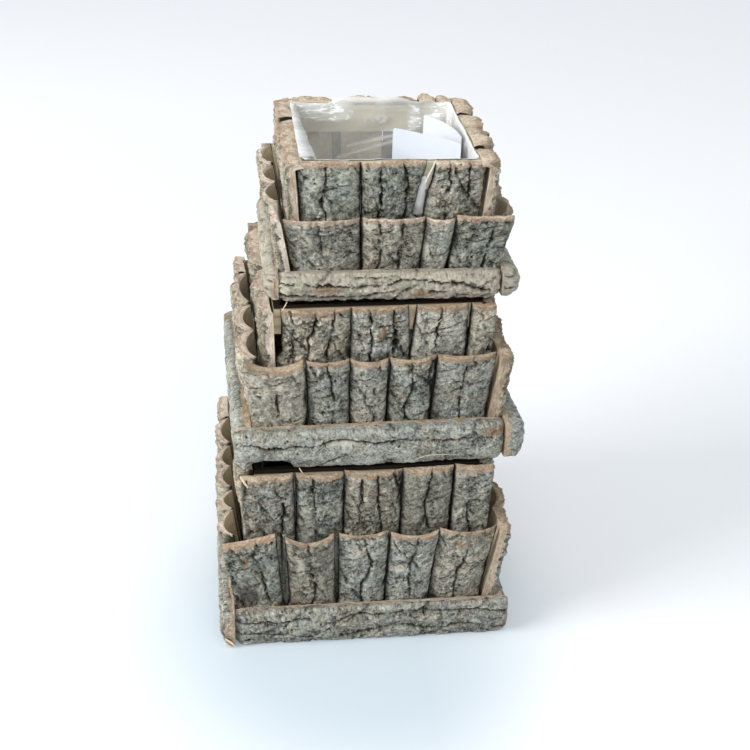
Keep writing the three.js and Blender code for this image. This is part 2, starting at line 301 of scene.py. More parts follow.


# The base boards and the rim laths are plain sawn softwood, a board in the foot of each planter and four
# laths inside each rim. They keep the shape that they came with. The tops of the large and medium planters'
# laths are painted dark as painted shade under the planter above, and the small planter's laths are a
# lighter copy, partly as painted light inside its film.
def wood_material(name, light, dark, grain_turn, shaded_from):
    """Sawn softwood with its grain along x, or turned, and painted dark above a height as painted shade."""
    material, board, shader = new_material(name)
    place = board.place()
    along = board.mapped(place, grain_turn, (6.0, 90.0, 90.0))
    warp = board.noise(along, 0.8, 3.0, 0.6)
    rings = board.math("SINE", board.total((board.noise(along, 0.35, 1.0), 46.0)))
    fibre = board.noise(along, 9.0, 3.0, 0.7)
    value = board.total((board.span(rings, -1.0, 1.0), 0.35), (warp, 0.35), (fibre, 0.4))
    colour = board.ramp(value, (0.30, dark), (0.52, light), (0.8, light))
    painted_shade = board.span(board.axes(place)["Z"], shaded_from, shaded_from + 0.0012)
    colour = board.mix(painted_shade, colour, paint(30, 24, 18))
    board.surface(shader, colour, board.span(fibre, 0.3, 0.7, 0.85, 0.6), (fibre, 0.4, 0.0004), 0.15)
    return material


above_all = 1.0
board_wood = wood_material("board_wood", paint(190, 164, 126), paint(146, 114, 78), 0.0, above_all)
walls = ("front", "right", "back", "left")
for planter in ("large", "medium", "small"):
    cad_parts[f"{planter}_base_board"].material_slots[0].material = board_wood
    for number, wall in enumerate(walls):
        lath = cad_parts[f"{planter}_{wall}_lath"]
        # Painted shade on the laths' tops, under the planter that stands on this rim.
        shade_depth = 0.0040 if planter == "large" else 0.0014
        shaded_from = max(corner.co.z for corner in lath.data.vertices) - shade_depth
        name = f"{planter}_{wall}_lath_wood"
        turn = math.radians(90 * (number % 2))
        # The small planter's laths are a lighter copy, partly as painted light inside its film.
        if planter == "small":
            wood = wood_material(name, paint(212, 203, 178), paint(190, 178, 150), turn, above_all)
        else:
            wood = wood_material(name, paint(200, 183, 153), paint(163, 143, 114), turn, shaded_from)
        lath.material_slots[0].material = wood


# The large planter stands at the bottom. Upright slabs of bark go round the board and the laths
# as an inner and an outer tier, and slabs laid flat go round the foot as a band.
def bark_material():
    """Bark, rough and grey outside and brown where it was sawn. The relief is on the mesh."""
    material, board, shader = new_material("bark")

    grain = board.kept("grain", "Vector")
    skin = board.kept("skin")
    mottle = board.noise(grain, 300, 4.0, 0.7)
    crumbs = board.noise(grain, 620, 4.0, 0.8)
    # The grey follows the mottle and the relief's level: low places are darker, as painted shade in the
    # hollows.
    tone_and_hollow_shade = board.total((mottle, 0.45), (crumbs, 0.95), (board.kept("level"), 0.42), (1.0, -0.10))
    grey = board.ramp(
        tone_and_hollow_shade, (0.42, paint(68, 65, 58)), (0.52, paint(121, 119, 111)),
        (0.60, paint(154, 153, 144)), (0.69, paint(188, 186, 178)), (0.82, paint(228, 225, 217)),
    )
    lichen = board.ramp(
        board.noise(grain, 65, 3.0, 0.6), (0.34, paint(239, 245, 247)), (0.45, paint(246, 250, 247)),
        (0.54, paint(251, 251, 248)), (0.63, paint(253, 250, 243)), (0.72, paint(255, 244, 235)),
    )
    outside = board.tinted(grey, lichen)
    warmth = board.kept("warm")
    warm = board.tinted(outside, paint(255, 228, 198))
    outside = board.mix(board.most(warmth, 0.0), outside, warm)
    cool = board.tinted(outside, paint(228, 240, 228))
    outside = board.mix(board.most(warmth * -1.0, 0.0), outside, cool)
    # Pits and fine cracks are bumped and painted dark, the dark as painted shade inside them.
    pitted = board.span(board.noise(grain, 110, 2.0, 0.6), 0.51, 0.57)
    pits = board.span(board.cells(grain, 210), 0.24, 0.12, 0.0, 0.9) * pitted
    outside = board.mix(pits, outside, paint(34, 30, 25))
    wavy = board.noise(grain, 160, 3.0, output=1)
    wavy = board.vectors("MULTIPLY_ADD", wavy, (0.010, 0.010, 0.010), grain)["Vector"]
    cracked = board.span(board.noise(grain, 60, 2.0), 0.54, 0.62)
    cracks = board.span(board.cells(wavy, 85, "DISTANCE_TO_EDGE"), 0.04, 0.012, 0.0, 0.5) * cracked
    outside = board.mix(cracks, outside, paint(52, 46, 39))
    torn = board.span(board.noise(grain, 38, 4.0, 0.7), 0.67, 0.72, 0.0, 0.6)
    outside = board.mix(torn, outside, paint(134, 104, 76))
    tone = board.ramp(board.kept("tone"), (0.0, paint(194, 194, 190)), (1.0, paint(255, 255, 255)))
    outside = board.tinted(outside, tone)
    bleached = board.span(board.kept("tone"), 1.0, 2.0)
    outside = board.mix(bleached, outside, board.mix(warmth, paint(196, 196, 186), paint(206, 194, 172)))
    stains_and_shade = board.axes(board.kept("stain_and_shade", "Vector"))
    blotch = mottle - 0.5
    # Rust and pale are the bark's own colour; dark is painted shade in holes and under a slab's top.
    rust_shade_pale = (("X", paint(150, 114, 80)), ("Y", paint(58, 46, 40)), ("Z", paint(214, 208, 190)))
    for axis, spot_colour in rust_shade_pale:
        reach = board.span(board.total((blotch, 1.6), (stains_and_shade[axis], 1.0)), 0.30, 0.75, 0.0, 0.65)
        outside = board.mix(reach, outside, spot_colour)
    # Painted shade in the deep fissures and on the rolled-back edges of the slabs.
    outside = board.mix(board.kept("fissure_shade"), outside, paint(34, 30, 25))

    fibre = board.noise(board.mapped(grain, 0.0, (1.0, 1.0, 0.22)), 700, 3.0, 0.6)
    fresh = board.kept("fresh")
    sawn = board.ramp(
        fibre, (0.3, paint(180, 158, 136)), (0.5, paint(222, 203, 180)), (0.7, paint(250, 237, 220)),
    )
    patches = board.noise(grain, 95, 3.0, 0.65)
    sawn = board.mix(board.span(patches, 0.50, 0.61, 0.0, 0.50), sawn, paint(168, 138, 112))
    sawn = board.mix(board.span(patches, 0.46, 0.38, 0.0, 0.55), sawn, paint(240, 228, 210))
    sawn = board.mix(board.span(mottle, 0.52, 0.66, 0.0, 0.45), sawn, paint(132, 106, 80))
    weathered = board.tinted(sawn, paint(216, 210, 200))
    sawn = board.mix(fresh, weathered, sawn)
    # Above 1 the sawn wood is whitened, partly as painted light on the lit left walls.
    sawn = board.mix(board.span(fresh, 1.0, 2.0, 0.0, 0.5), sawn, paint(255, 244, 230))
    # Higher settings also lighten the peeled inner faces, partly as painted light in the small planter's
    # dim inside.
    peeled_dark = board.mix(fresh, paint(150, 130, 106), paint(226, 206, 174))
    peeled_light = board.mix(fresh, paint(192, 170, 142), paint(250, 236, 208))
    peeled = board.mix(board.span(fibre, 0.3, 0.7), peeled_dark, peeled_light)
    # Below 0 a peeled inner face is painted dark, as painted shade behind the gaps and cards in the small
    # planter's back walls.
    peeled = board.mix(board.span(fresh, -1.0, 0.0, 0.96, 0.0), peeled, paint(58, 49, 40))
    colour = board.mix(board.span(skin, 0.05, 0.12), peeled, sawn)
    ragged = (crumbs - 0.5) * 1.4
    rind = board.span(skin + ragged, 0.80, 0.95, 0.0, 0.8)
    colour = board.mix(rind, colour, paint(108, 84, 66))
    bared = board.kept("cut") + ragged
    outside = board.mix(board.span(bared, 0.62, 0.74), outside, board.mix(0.5, sawn, paint(146, 120, 96)))
    slow = board.noise(grain, 140, 3.0, 0.6)
    edge = board.total((slow, 1.5), (1.0, 0.13), (board.kept("wrap"), -1.0))
    edge = board.least(edge, 0.985)
    colour = board.mix(board.span(skin, edge - 0.06, edge), colour, outside)
    # Where two slabs meet the edges are painted dark, as painted shade between them.
    colour = board.mix(board.kept("join_shade"), colour, paint(50, 40, 32))
    heights = board.total((crumbs, 1.6), (mottle, 1.2), (pits, -0.8), (cracks, -0.6))
    board.surface(shader, colour, board.span(mottle, 0.3, 0.7, 0.96, 0.84), (heights, 1.0, 0.0012), 0.2)
    return material


def slab_tree():
    """Bends a box into one slab of bark that stands against a wall. The wall runs along x, its
    inner face lies at y = -Face, and the rough side of the slab looks towards -y."""
    tree = bpy.data.node_groups.new("bark_slab", "GeometryNodeTree")
    sizes = {
        "Middle": 0.0, "Face": 0.08, "Width": 0.04, "Height": 0.1, "Thickness": 0.01,
        "Bulge": 0.003, "Hollow": 0.0024, "Lean From": 0.03, "Lean": 0.0,
        "Trim Left": 0.0, "Trim Right": 0.0, "Trim From": 0.05, "Trim Rise": 0.006,
        "Trim Low": 1.0, "Trim High": 1.0, "Hidden Height": 0.03, "Hidden Share": 0.1,
        "Plates": 2.0, "Shift": 0.0, "Fissure Depth": 0.004, "Cross": 1.0, "Lumps": 1.0, "Stretch": 1.0,
        "Roll Left": 1.0, "Roll Right": 1.0, "Round Left": 0.0, "Round Right": 0.0, "End Round": 0.0,
        "Wander": 0.003, "Skew": 0.0, "Tip": 0.0, "Chip": 0.0034, "Lip": 0.0, "Crown": 0.0,
        "Left Drop": 0.0, "Right Drop": 0.0, "Dip": 0.0, "Slant": 0.003, "Cut Waves": 0.0016,
        "Belly": 0.0, "Belly From": 0.05, "Belly Inside": 0.0, "Pillow": 0.0012, "Pillow Reach": 0.006,
        "Arch Place": 0.0, "Arch Width": 0.036, "Arch Height": 0.0,
        "Wrap": 0.0, "Tone": 0.5, "Warm": 0.0, "Fresh": 0.5, "Seed": 0.0,
    }
    for name, value in sizes.items():
        tree.interface.new_socket(name, in_out="INPUT", socket_type="NodeSocketFloat").default_value = value
    for name, value in (("Across", 40), ("Deep", 8), ("Along", 80)):
        tree.interface.new_socket(name, in_out="INPUT", socket_type="NodeSocketInt").default_value = value
    tree.interface.new_socket("Material", in_out="INPUT", socket_type="NodeSocketMaterial")
    tree.interface.new_socket("Slab", in_out="OUTPUT", socket_type="NodeSocketGeometry")
    board = Board(tree)
    given = board.all("NodeGroupInput")
    seed = given["Seed"]

    geometry = board.get("GeometryNodeMeshCube", {
        "Size": (1, 1, 1), "Vertices X": given["Across"],
        "Vertices Y": given["Deep"], "Vertices Z": given["Along"],
    }, "Mesh")
    axes = board.axes(board.get("GeometryNodeInputPosition"))
    across = axes["X"] * 2.0
    outness = 0.5 - axes["Y"]
    up = axes["Z"] + 0.5

    # Height above the foot, with few rows of faces where other pieces hide the slab
    hidden = board.span(up, 0.0, given["Hidden Share"], 0.0, given["Hidden Height"])
    shown_height = given["Height"] - given["Hidden Height"]
    z = hidden + board.span(up, given["Hidden Share"], 1.0, 0.0, shown_height)

    # Place along the wall, between edges that are trimmed above the join
    half_width = given["Width"] * 0.5
    trim_start = given["Trim From"] - given["Trim Rise"]
    trim_share = board.span(z, given["Trim From"], given["Height"], given["Trim Low"], given["Trim High"])
    trimmed = board.span(z, trim_start, given["Trim From"]) * trim_share
    from_left = board.span(across, -1.0, 1.0)
    from_right = 1.0 - from_left
    left_place = from_left * given["Width"]
    right_place = from_right * given["Width"]
    arch_share = (z - given["Arch Place"]) / given["Arch Width"]
    arch_round = arch_share * (arch_share * -4.0)
    arch_cut = board.math("SQRT", board.most(arch_round + 1.0, 0.0))
    cut_left = given["Trim Left"] * trimmed * from_right
    cut_right = board.total((given["Trim Right"], trimmed), (arch_cut, given["Arch Height"]))
    x = board.total((across, half_width), (cut_left, 1.0), (cut_right * from_left, -1.0))

    # The bark's own coordinates, different for every slab, and a slow sway of its grain
    sheet_x = board.total((seed, 0.37), (x, 1.0))
    sheet_y = board.total((seed, 0.11), (outness, 0.010))
    sheet = board.vector(sheet_x, sheet_y, z)
    drawn = board.vector(sheet_x, sheet_y, z * given["Stretch"])
    sway = board.noise(sheet, 70, 3.0, 0.6, output=1)
    sway = board.vectors("SUBTRACT", sway, (0.5, 0.5, 0.5))["Vector"]
    swayed = board.vectors("MULTIPLY_ADD", sway, (0.009, 0.009, 0.009), sheet)["Vector"]

    def plates_of(width, tallness):
        """The sheet measured in plates of this width, drawn out upwards."""
        share = 1.0 / width
        shares = board.vector(share, 1.0, share / tallness)
        return board.vectors("MULTIPLY", swayed, shares)["Vector"]

    def away_from_lines(apart, tilt, turn, bend, jag, anchor):
        """How far a point is from the nearest of the wandering lines that run up the bark."""
        long_x = board.total((x, 22.0), (seed, 1.7))
        long_y = board.total((seed, turn), (1.0, turn))
        long_way = board.vector(long_x, long_y, z * 16.0)
        slow = board.noise(long_way, 1.0, 2.0, 0.5) - 0.5
        quick = board.noise(sheet, 210, 3.0, 0.6) - 0.5
        place = board.total((x, 1.0), (z, tilt), (board.total((slow, bend), (quick, jag)), inside))
        shares = board.total((place / apart, 1.0), anchor)
        return board.math("PINGPONG", shares, 0.5) * apart

    def only_where(value, scale, low, high):
        return value * board.span(board.noise(sheet, scale), low, high)

    # A line lies on each edge of the slab, and the rest wander between them
    square = across * across
    inside = 1.0 - square * square
    plate_width = given["Width"] / given["Plates"]
    square_plates = plates_of(plate_width, 1.0)
    fissure_width = board.span(board.noise(sheet, 95, 1.0), 0.34, 0.70, 0.0005, 0.0018)
    on_edges = board.total((given["Plates"], 0.5), (given["Shift"], 1.0))
    main_far = away_from_lines(plate_width, 0.0, 0.618, 0.030, 0.006, (on_edges, 1.0))
    deep = board.fading(main_far, fissure_width * 0.15, fissure_width)
    open_left = board.most(1.0 - given["Roll Left"], 0.0)
    open_right = board.most(1.0 - given["Roll Right"], 0.0)
    at_open_edge = board.total(
        (board.fading(left_place, 0.0015, 0.004), open_left),
        (board.fading(right_place, 0.0015, 0.004), open_right),
    )
    deep = only_where(deep * (1.0 - at_open_edge), 40, 0.42, 0.48)
    pillow = board.math("SQRT", board.span(main_far, 0.0, given["Pillow Reach"]))
    side_apart = plate_width * 1.7
    side_far = away_from_lines(side_apart, 0.55, 0.31, 0.026, 0.008, (seed, 0.31))
    side = only_where(board.fading(side_far, 0.0001, 0.0014), 48, 0.50, 0.56)
    cross_apart = plate_width * 3.0
    cross_far = away_from_lines(cross_apart, -3.0, 0.77, 0.06, 0.020, (seed, 0.77))
    cross = only_where(board.fading(cross_far, 0.0002, 0.0030), 55, 0.47, 0.53)
    cross = cross * given["Cross"]
    ditch = board.most(deep, board.most(side * 0.6, cross * 0.45))
    ditch_depth = given["Fissure Depth"] * -1.0
    flake = board.span(board.noise(plates_of(plate_width, 1.6), 1.3, 3.0, 0.6), 0.50, 0.525)
    chip = board.fading(board.noise(square_plates, 2.2, 3.0, 0.65), 0.38, 0.405)
    lumps = board.noise(drawn, 120, 3.0, 0.6)
    lump_level = (lumps - 0.5) * given["Lumps"]
    grit_level = (board.noise(drawn, 260, 3.0, 0.7) - 0.5) * given["Lumps"]
    relief = board.total(
        (pillow, given["Pillow"]), (flake, 0.0010), (chip, -0.0012), (lump_level, 0.0040),
        (grit_level, 0.0040), (ditch, ditch_depth), (given["Pillow"], -0.83),
    )

    # The rough side rolls back where two slabs meet, and is chipped along the saw cuts
    def near_edges(reach):
        return board.total(
            (board.fading(left_place, 0.0, reach), given["Roll Left"]),
            (board.fading(right_place, 0.0, reach), given["Roll Right"]),
        )

    roll = near_edges(0.0035)
    rolled = roll * roll
    # A thin strip on each meeting edge, which the bark material paints dark as painted shade between slabs.
    join_shade = near_edges(0.0010)
    below_top = given["Height"] - z

    def rounding(place, radius):
        """How far an edge of the slab is cut back by its rounding."""
        share = board.fading(place, 0.0, radius)
        arc = board.math("SQRT", 1.0 - share * share)
        return radius * (1.0 - arc)

    rounded_left = rounding(left_place, given["Round Left"])
    rounded_right = rounding(right_place, given["Round Right"])
    near_cut = board.fading(below_top, 0.0, 0.004) + board.fading(z, 0.0, 0.004)
    chipped = near_cut * board.span(lumps, 0.42, 0.66, 0.0, given["Chip"])
    end_reach = 0.009
    near_end = board.fading(below_top, 0.0, end_reach) + board.fading(z, 0.0, end_reach)
    ended = near_end * near_end * given["End Round"]
    relief = board.total(
        (rolled, -0.0026), (chipped, -1.0), (ended, -1.0), (rounded_left, -1.0), (rounded_right, -1.0),
        (relief, 1.0),
    )

    # The bowed section, inner face hollow and outer face full, and how the slab sits on the wall
    full = board.total((square * -1.0, given["Bulge"]), (given["Thickness"], 1.0))
    hollow = given["Hollow"] * (1.0 - square)
    relief = board.most(relief, (full - hollow) * -0.66)
    askew = z / given["Height"] * board.total((given["Skew"], across), (given["Tip"], 1.0))
    belly_end = given["Belly From"] + 0.025
    belly = (1.0 - square) * given["Belly"] * board.span(z, given["Belly From"], belly_end, smooth=True)
    bellied = board.span(outness, 0.0, 1.0, given["Belly Inside"], 1.0)
    out = board.total(
        (board.span(outness, 0.0, 1.0, hollow, full), 1.0), (relief, outness), (askew, outness),
        (belly, bellied),
    )
    lip = board.fading(below_top, 0.0012, 0.0022) * given["Lip"]
    out = out - lip * (1.0 - outness)

    # Edges wander a little, and so does the saw cut at the top
    edge_noise = board.noise(board.vector(seed, outness, z * 60.0), 1.0, 3.0)
    wander = (edge_noise - 0.6) * given["Wander"]
    at_edge = board.math("POWER", board.math("ABSOLUTE", across), 6.0) * board.math("SIGN", across)
    x = board.total((wander, at_edge), (x, 1.0), (x * ended, -24.0))
    saw_place = board.vector(x * 90.0, outness * 1.6, seed)
    saw = board.noise(saw_place, 1.0, 2.0)
    from_middle = board.total((outness, 2.0), (1.0, -1.0))
    lowered = board.total(
        (from_right, given["Left Drop"]), (from_left, given["Right Drop"]), (saw, given["Cut Waves"]),
        (1.0 - square, given["Dip"]), (outness, given["Slant"]),
        (from_middle * from_middle, given["Crown"]),
    )
    z_cut = board.total((board.span(up, 0.5, 1.0) * lowered, -1.0), (z, 1.0))

    leaning = board.most(z - given["Lean From"], 0.0)
    lean = given["Lean"] * leaning
    reach = given["Face"] + given["Thickness"]
    fan = lean / reach + 1.0
    place_x = (given["Middle"] + x) * fan
    place_y = board.total((given["Face"], -1.0), (out, -1.0), (lean, -1.0))

    # Painted shade for the bark material: dark in the fissures and on the rolled-back edges.
    dark = board.most(board.most(deep, side * 0.8), board.most(cross * 0.6, rolled * 0.35))
    cut = board.fading(below_top, 0.0, 0.0045)
    # The relief's level, with which the bark material darkens the low places as painted shade.
    level = board.total((flake, 0.14), (lump_level, 0.9), (grit_level, 1.3), (chip, -0.20), (pillow, 0.10))
    values_kept = (
        ("skin", outness, "FLOAT"), ("fissure_shade", dark, "FLOAT"), ("level", level, "FLOAT"),
        ("join_shade", join_shade, "FLOAT"), ("cut", cut, "FLOAT"), ("wrap", given["Wrap"], "FLOAT"),
        ("tone", given["Tone"], "FLOAT"), ("warm", given["Warm"], "FLOAT"),
        ("fresh", given["Fresh"], "FLOAT"), ("grain", sheet, "FLOAT_VECTOR"),
        ("place", board.vector(place_x, place_y, z_cut), "FLOAT_VECTOR"),
    )
    for name, value, kind in values_kept:
        inputs = {"Geometry": geometry, "Name": name, "Value": value}
        geometry = board.get("GeometryNodeStoreNamedAttribute", inputs, data_type=kind)
    place = board.get("GeometryNodeInputNamedAttribute", {"Name": "place"}, data_type="FLOAT_VECTOR")
    geometry = board.get("GeometryNodeSetPosition", {"Geometry": geometry, "Position": place})
    geometry = board.get("GeometryNodeRealizeInstances", {0: geometry})
    geometry = board.get("GeometryNodeSetMaterial", {0: geometry, "Material": given["Material"]})
    board.add("NodeGroupOutput", {0: geometry})
    return tree


bark = bark_material()
bark_slab = slab_tree()
kept_floats = ("skin", "fissure_shade", "level", "join_shade", "cut", "wrap", "tone", "warm", "fresh")


def slab_faces(settings):
    """One slab as numbers: its corners, its four-sided faces and what is kept at each corner."""
    blank = bpy.data.objects.new("blank", bpy.data.meshes.new("blank"))
    bpy.context.scene.collection.objects.link(blank)
    modifier = blank.modifiers.new("bark", "NODES")
    modifier.node_group = bark_slab
    for name, value in settings.items():
        modifier[bark_slab.interface.items_tree[name].identifier] = value
    modifier[bark_slab.interface.items_tree["Material"].identifier] = bark
    graph = bpy.context.evaluated_depsgraph_get()
    mesh = bpy.data.meshes.new_from_object(blank.evaluated_get(graph))
    corners = np.empty(len(mesh.vertices) * 3, np.float32)
    mesh.vertices.foreach_get("co", corners)
    faces = np.empty(len(mesh.loops), np.int32)
    mesh.loops.foreach_get("vertex_index", faces)
    kept = {}
    for name in kept_floats:
        kept[name] = np.empty(len(mesh.vertices), np.float32)
        mesh.attributes[name].data.foreach_get("value", kept[name])
    kept["grain"] = np.empty(len(mesh.vertices) * 3, np.float32)
    mesh.attributes["grain"].data.foreach_get("vector", kept["grain"])
    bpy.data.objects.remove(blank)
    bpy.data.meshes.remove(mesh)
    return corners.reshape(-1, 3), faces.reshape(-1, 4), kept


def moved(corners, matrix):
    return corners @ np.array(matrix.to_3x3()).T + np.array(matrix.to_translation())


def join_slabs(name, slabs, turned, stains_and_shade, laid=Matrix.Identity(4)):
    """One piece of slabs that share a wall, turned to where the wall stands."""
    on_wall = moved(np.concatenate([slab[0] for slab in slabs]), laid)
    corners = moved(on_wall, turned)
    stained_and_shaded = np.zeros((len(corners), 3))
    for x, z, wide, tall, kind in stains_and_shade:
        away = ((on_wall[:, 0] - x) / wide) ** 2 + ((on_wall[:, 2] - z) / tall) ** 2
        stained_and_shaded[:, ("rust", "dark", "pale").index(kind)] += np.exp(-away)
    starts = np.cumsum([0] + [len(slab[0]) for slab in slabs[:-1]])
    faces = np.concatenate([slab[1] + start for slab, start in zip(slabs, starts)])
    floats = {key: np.concatenate([slab[2][key] for slab in slabs]) for key in kept_floats}
    vectors = {"grain": np.concatenate([slab[2]["grain"] for slab in slabs]), "stain_and_shade": stained_and_shaded}
    return new_piece(name, corners.tolist(), faces.tolist(), bark, floats, vectors, sharp_from=48)


glue_gap = 0.0003
slab_lap = 0.0006
fine_step = 0.00096
hidden_rows = 6
seeds = itertools.count(1)


def wall_span(face, thickness, over, number):
    """Where a wall starts and ends: outside the tier at a corner that it runs over."""
    full = face + thickness
    short = face - glue_gap
    wall = walls[number]
    start = -full if over[number - 1] == wall else -short
    end = full if over[number] == wall else short
    return start, end


def stand_row(name, sizes, tier, over, number, shares, turned, stains_and_shade, chance):
    shared = tier["settings"]
    start, end = wall_span(shared["Face"], shared["Thickness"], over, number)
    wall = walls[number]
    length = end - start
    whole = sum(share[0] for share in shares)
    left = start + slab_lap / 2
    unevenness = sizes["unevenness"]
    slabs = []
    for place, (width_share, trim_left, trim_right, drop, *more) in enumerate(shares):
        right = left + (length - slab_lap) * width_share / whole
        height = tier["height"] * (1 - drop)
        rows = round((height - shared["Hidden Height"]) / fine_step)
        width = right - left + slab_lap
        runs_over_left = place == 0 and over[number - 1] == wall
        runs_over_right = place == len(shares) - 1 and over[number] == wall
        flat = runs_over_left or runs_over_right
        low, high = (0.0006, 0.0020) if wall == "front" else (-0.0010, 0.0004)
        settings = {
            **shared, "Middle": (left + right) / 2, "Width": width, "Height": height,
            "Lip": tier["lip"] * (0.4 if wall == "front" else 1.0),
            "Bulge": 0.0012 if flat else chance.uniform(*tier["bulge"]),
            "Hollow": 0.0012 if flat else chance.uniform(*tier["hollow"]),
            "Trim Left": trim_left * length, "Trim Right": trim_right * length,
            "Hidden Share": hidden_rows / (hidden_rows + rows),
            "Plates": float(max(1, round(width / chance.uniform(0.014, 0.024)))),
            "Fissure Depth": chance.uniform(0.0032, 0.0046),
            "Left Drop": chance.uniform(0, unevenness), "Right Drop": chance.uniform(0, unevenness),
            "Dip": chance.uniform(0, unevenness) - tier["dome"], "Slant": chance.uniform(low, high),
            "Roll Left": 0.0 if runs_over_left else 1.0, "Roll Right": 0.0 if runs_over_right else 1.0,
            "Skew": chance.uniform(-0.0007, 0.0007), "Tip": chance.uniform(-0.0014, 0.0002),
            "Tone": chance.uniform(0.3, 1.0), "Warm": 0.45 if wall == "left" else chance.uniform(-0.3, 0.4),
            # The left walls' sawn tops are whitened, partly as painted light on the side that the lamp
            # lights.
            "Fresh": 1.5 if wall == "left" else sizes["fresh"], "Wrap": 0.1,
            "Crown": sizes["crown"], "Cut Waves": 0.0016 + sizes["crown"], "Seed": float(next(seeds)),
            "Across": round(width / fine_step), "Along": hidden_rows + rows + 1,
        }
        if wall != "front" and not flat:
            settings.update(tier["bowed"])
        settings.update(*more)
        slabs.append(slab_faces(settings))
        left = right
    return join_slabs(name, slabs, turned, stains_and_shade)


def lay_band(name, sizes, face, number, turned, stains_and_shade):
    start, end = wall_span(face, sizes["band_thickness"], sizes["band_over"], number)
    wall = walls[number]
    low = sizes["band_low"]
    width = sizes["band_height"] - low
    length = end - start
    settings = {
        "Face": face, "Width": width, "Height": length,
        "Thickness": sizes["band_thickness"] + sizes["band_fuller"].get(wall, 0.0),
        "Hollow": 0.0, "Hidden Height": 0.0, "Hidden Share": 0.0, "Fissure Depth": 0.0030,
        "Cross": 0.2, "Roll Left": 0.0, "Roll Right": 0.0, "Round Left": 0.0024, "End Round": 0.004,
        "Slant": 0.0, "Chip": 0.004, "Fresh": sizes["fresh"], "Seed": float(next(seeds)),
        "Across": round(width / fine_step), "Along": round(length / fine_step), **sizes["band"],
    }
    if wall == "left":
        settings["Wrap"] = 0.12
    if wall == "front":
        settings.update(sizes["arch"])
    # The slab's left edge becomes the top of the band, and its foot the band's left end
    laid = Matrix(((0, 0, 1, start), (0, 1, 0, 0), (-1, 0, 0, low + width / 2), (0, 0, 0, 1)))
    return join_slabs(name, [slab_faces(settings)], turned, stains_and_shade, laid)


def stand_of(sizes):
    return Matrix.Translation(sizes["place"]) @ Matrix.Rotation(math.radians(sizes["turn"]), 4, "Z")


def build_walls(planter, sizes, chance):
    """The inner tier, the outer tier and the band of one planter."""
    body = f"{planter}_planter"
    band_top = sizes["band_height"]
    outer_top = sizes["outer_height"]
    inner_lean = sizes["flare"] / (sizes["height"] - band_top)
    inner_face = sizes["foot"] / 2 - sizes["slab"]
    inner = {
        "height": sizes["height"], "lip": sizes["lip"], "dome": sizes["dome"],
        "bulge": (0.0030, 0.0048), "hollow": (0.0006, 0.0014),
        "settings": {
            "Face": inner_face, "Thickness": sizes["slab"], "Lean From": band_top, "Lean": inner_lean,
            "Trim From": outer_top, "Hidden Height": outer_top - 0.012, "Belly From": outer_top + 0.003,
        },
        "bowed": {"Belly": 0.0034, "Pillow": 0.0034, "Pillow Reach": 0.009, "Bulge": 0.0034},
    }
    outer_face = inner_face + sizes["slab"] + glue_gap
    outer_lean = inner_lean + sizes["opening"] / (outer_top - band_top)
    outer = {
        "height": outer_top, "lip": 0.0, "dome": 0.0,
        "bulge": (0.0045, 0.0065), "hollow": (0.0040, 0.0060),
        "settings": {
            "Face": outer_face, "Thickness": sizes["outer_slab"], "Lean From": band_top, "Lean": outer_lean,
            "Trim From": band_top, "Hidden Height": band_top - 0.003, "Belly From": band_top + 0.002,
        },
        "bowed": {
            "Belly": 0.0042, "Belly Inside": 1.0, "Pillow": 0.0016, "Hollow": 0.0034, "Bulge": 0.0045,
        },
    }
    band_face = outer_face + sizes["outer_slab"] + glue_gap
    stand = stand_of(sizes)
    for number, wall in enumerate(walls):
        turned = stand @ Matrix.Rotation(math.radians(90 * number), 4, "Z")
        for tier_name, tier in (("inner", inner), ("outer", outer)):
            node = f"{planter}_{tier_name}_{wall}_wall"
            shares = sizes[f"{tier_name}_shares"][wall]
            over = sizes[f"{tier_name}_over"]
            stains_and_shade = sizes["stains_and_shade"].get(f"{tier_name}_{wall}", ())
            row = stand_row(f"bark.{node}", sizes, tier, over, number, shares, turned, stains_and_shade, chance)
            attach(row, body)
            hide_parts(node)
        node = f"{planter}_{wall}_band"
        stains_and_shade = sizes["stains_and_shade"].get(f"{wall}_band", ())
        band = lay_band(f"bark.{node}", sizes, band_face, number, turned, stains_and_shade)
        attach(band, body)
        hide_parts(node)
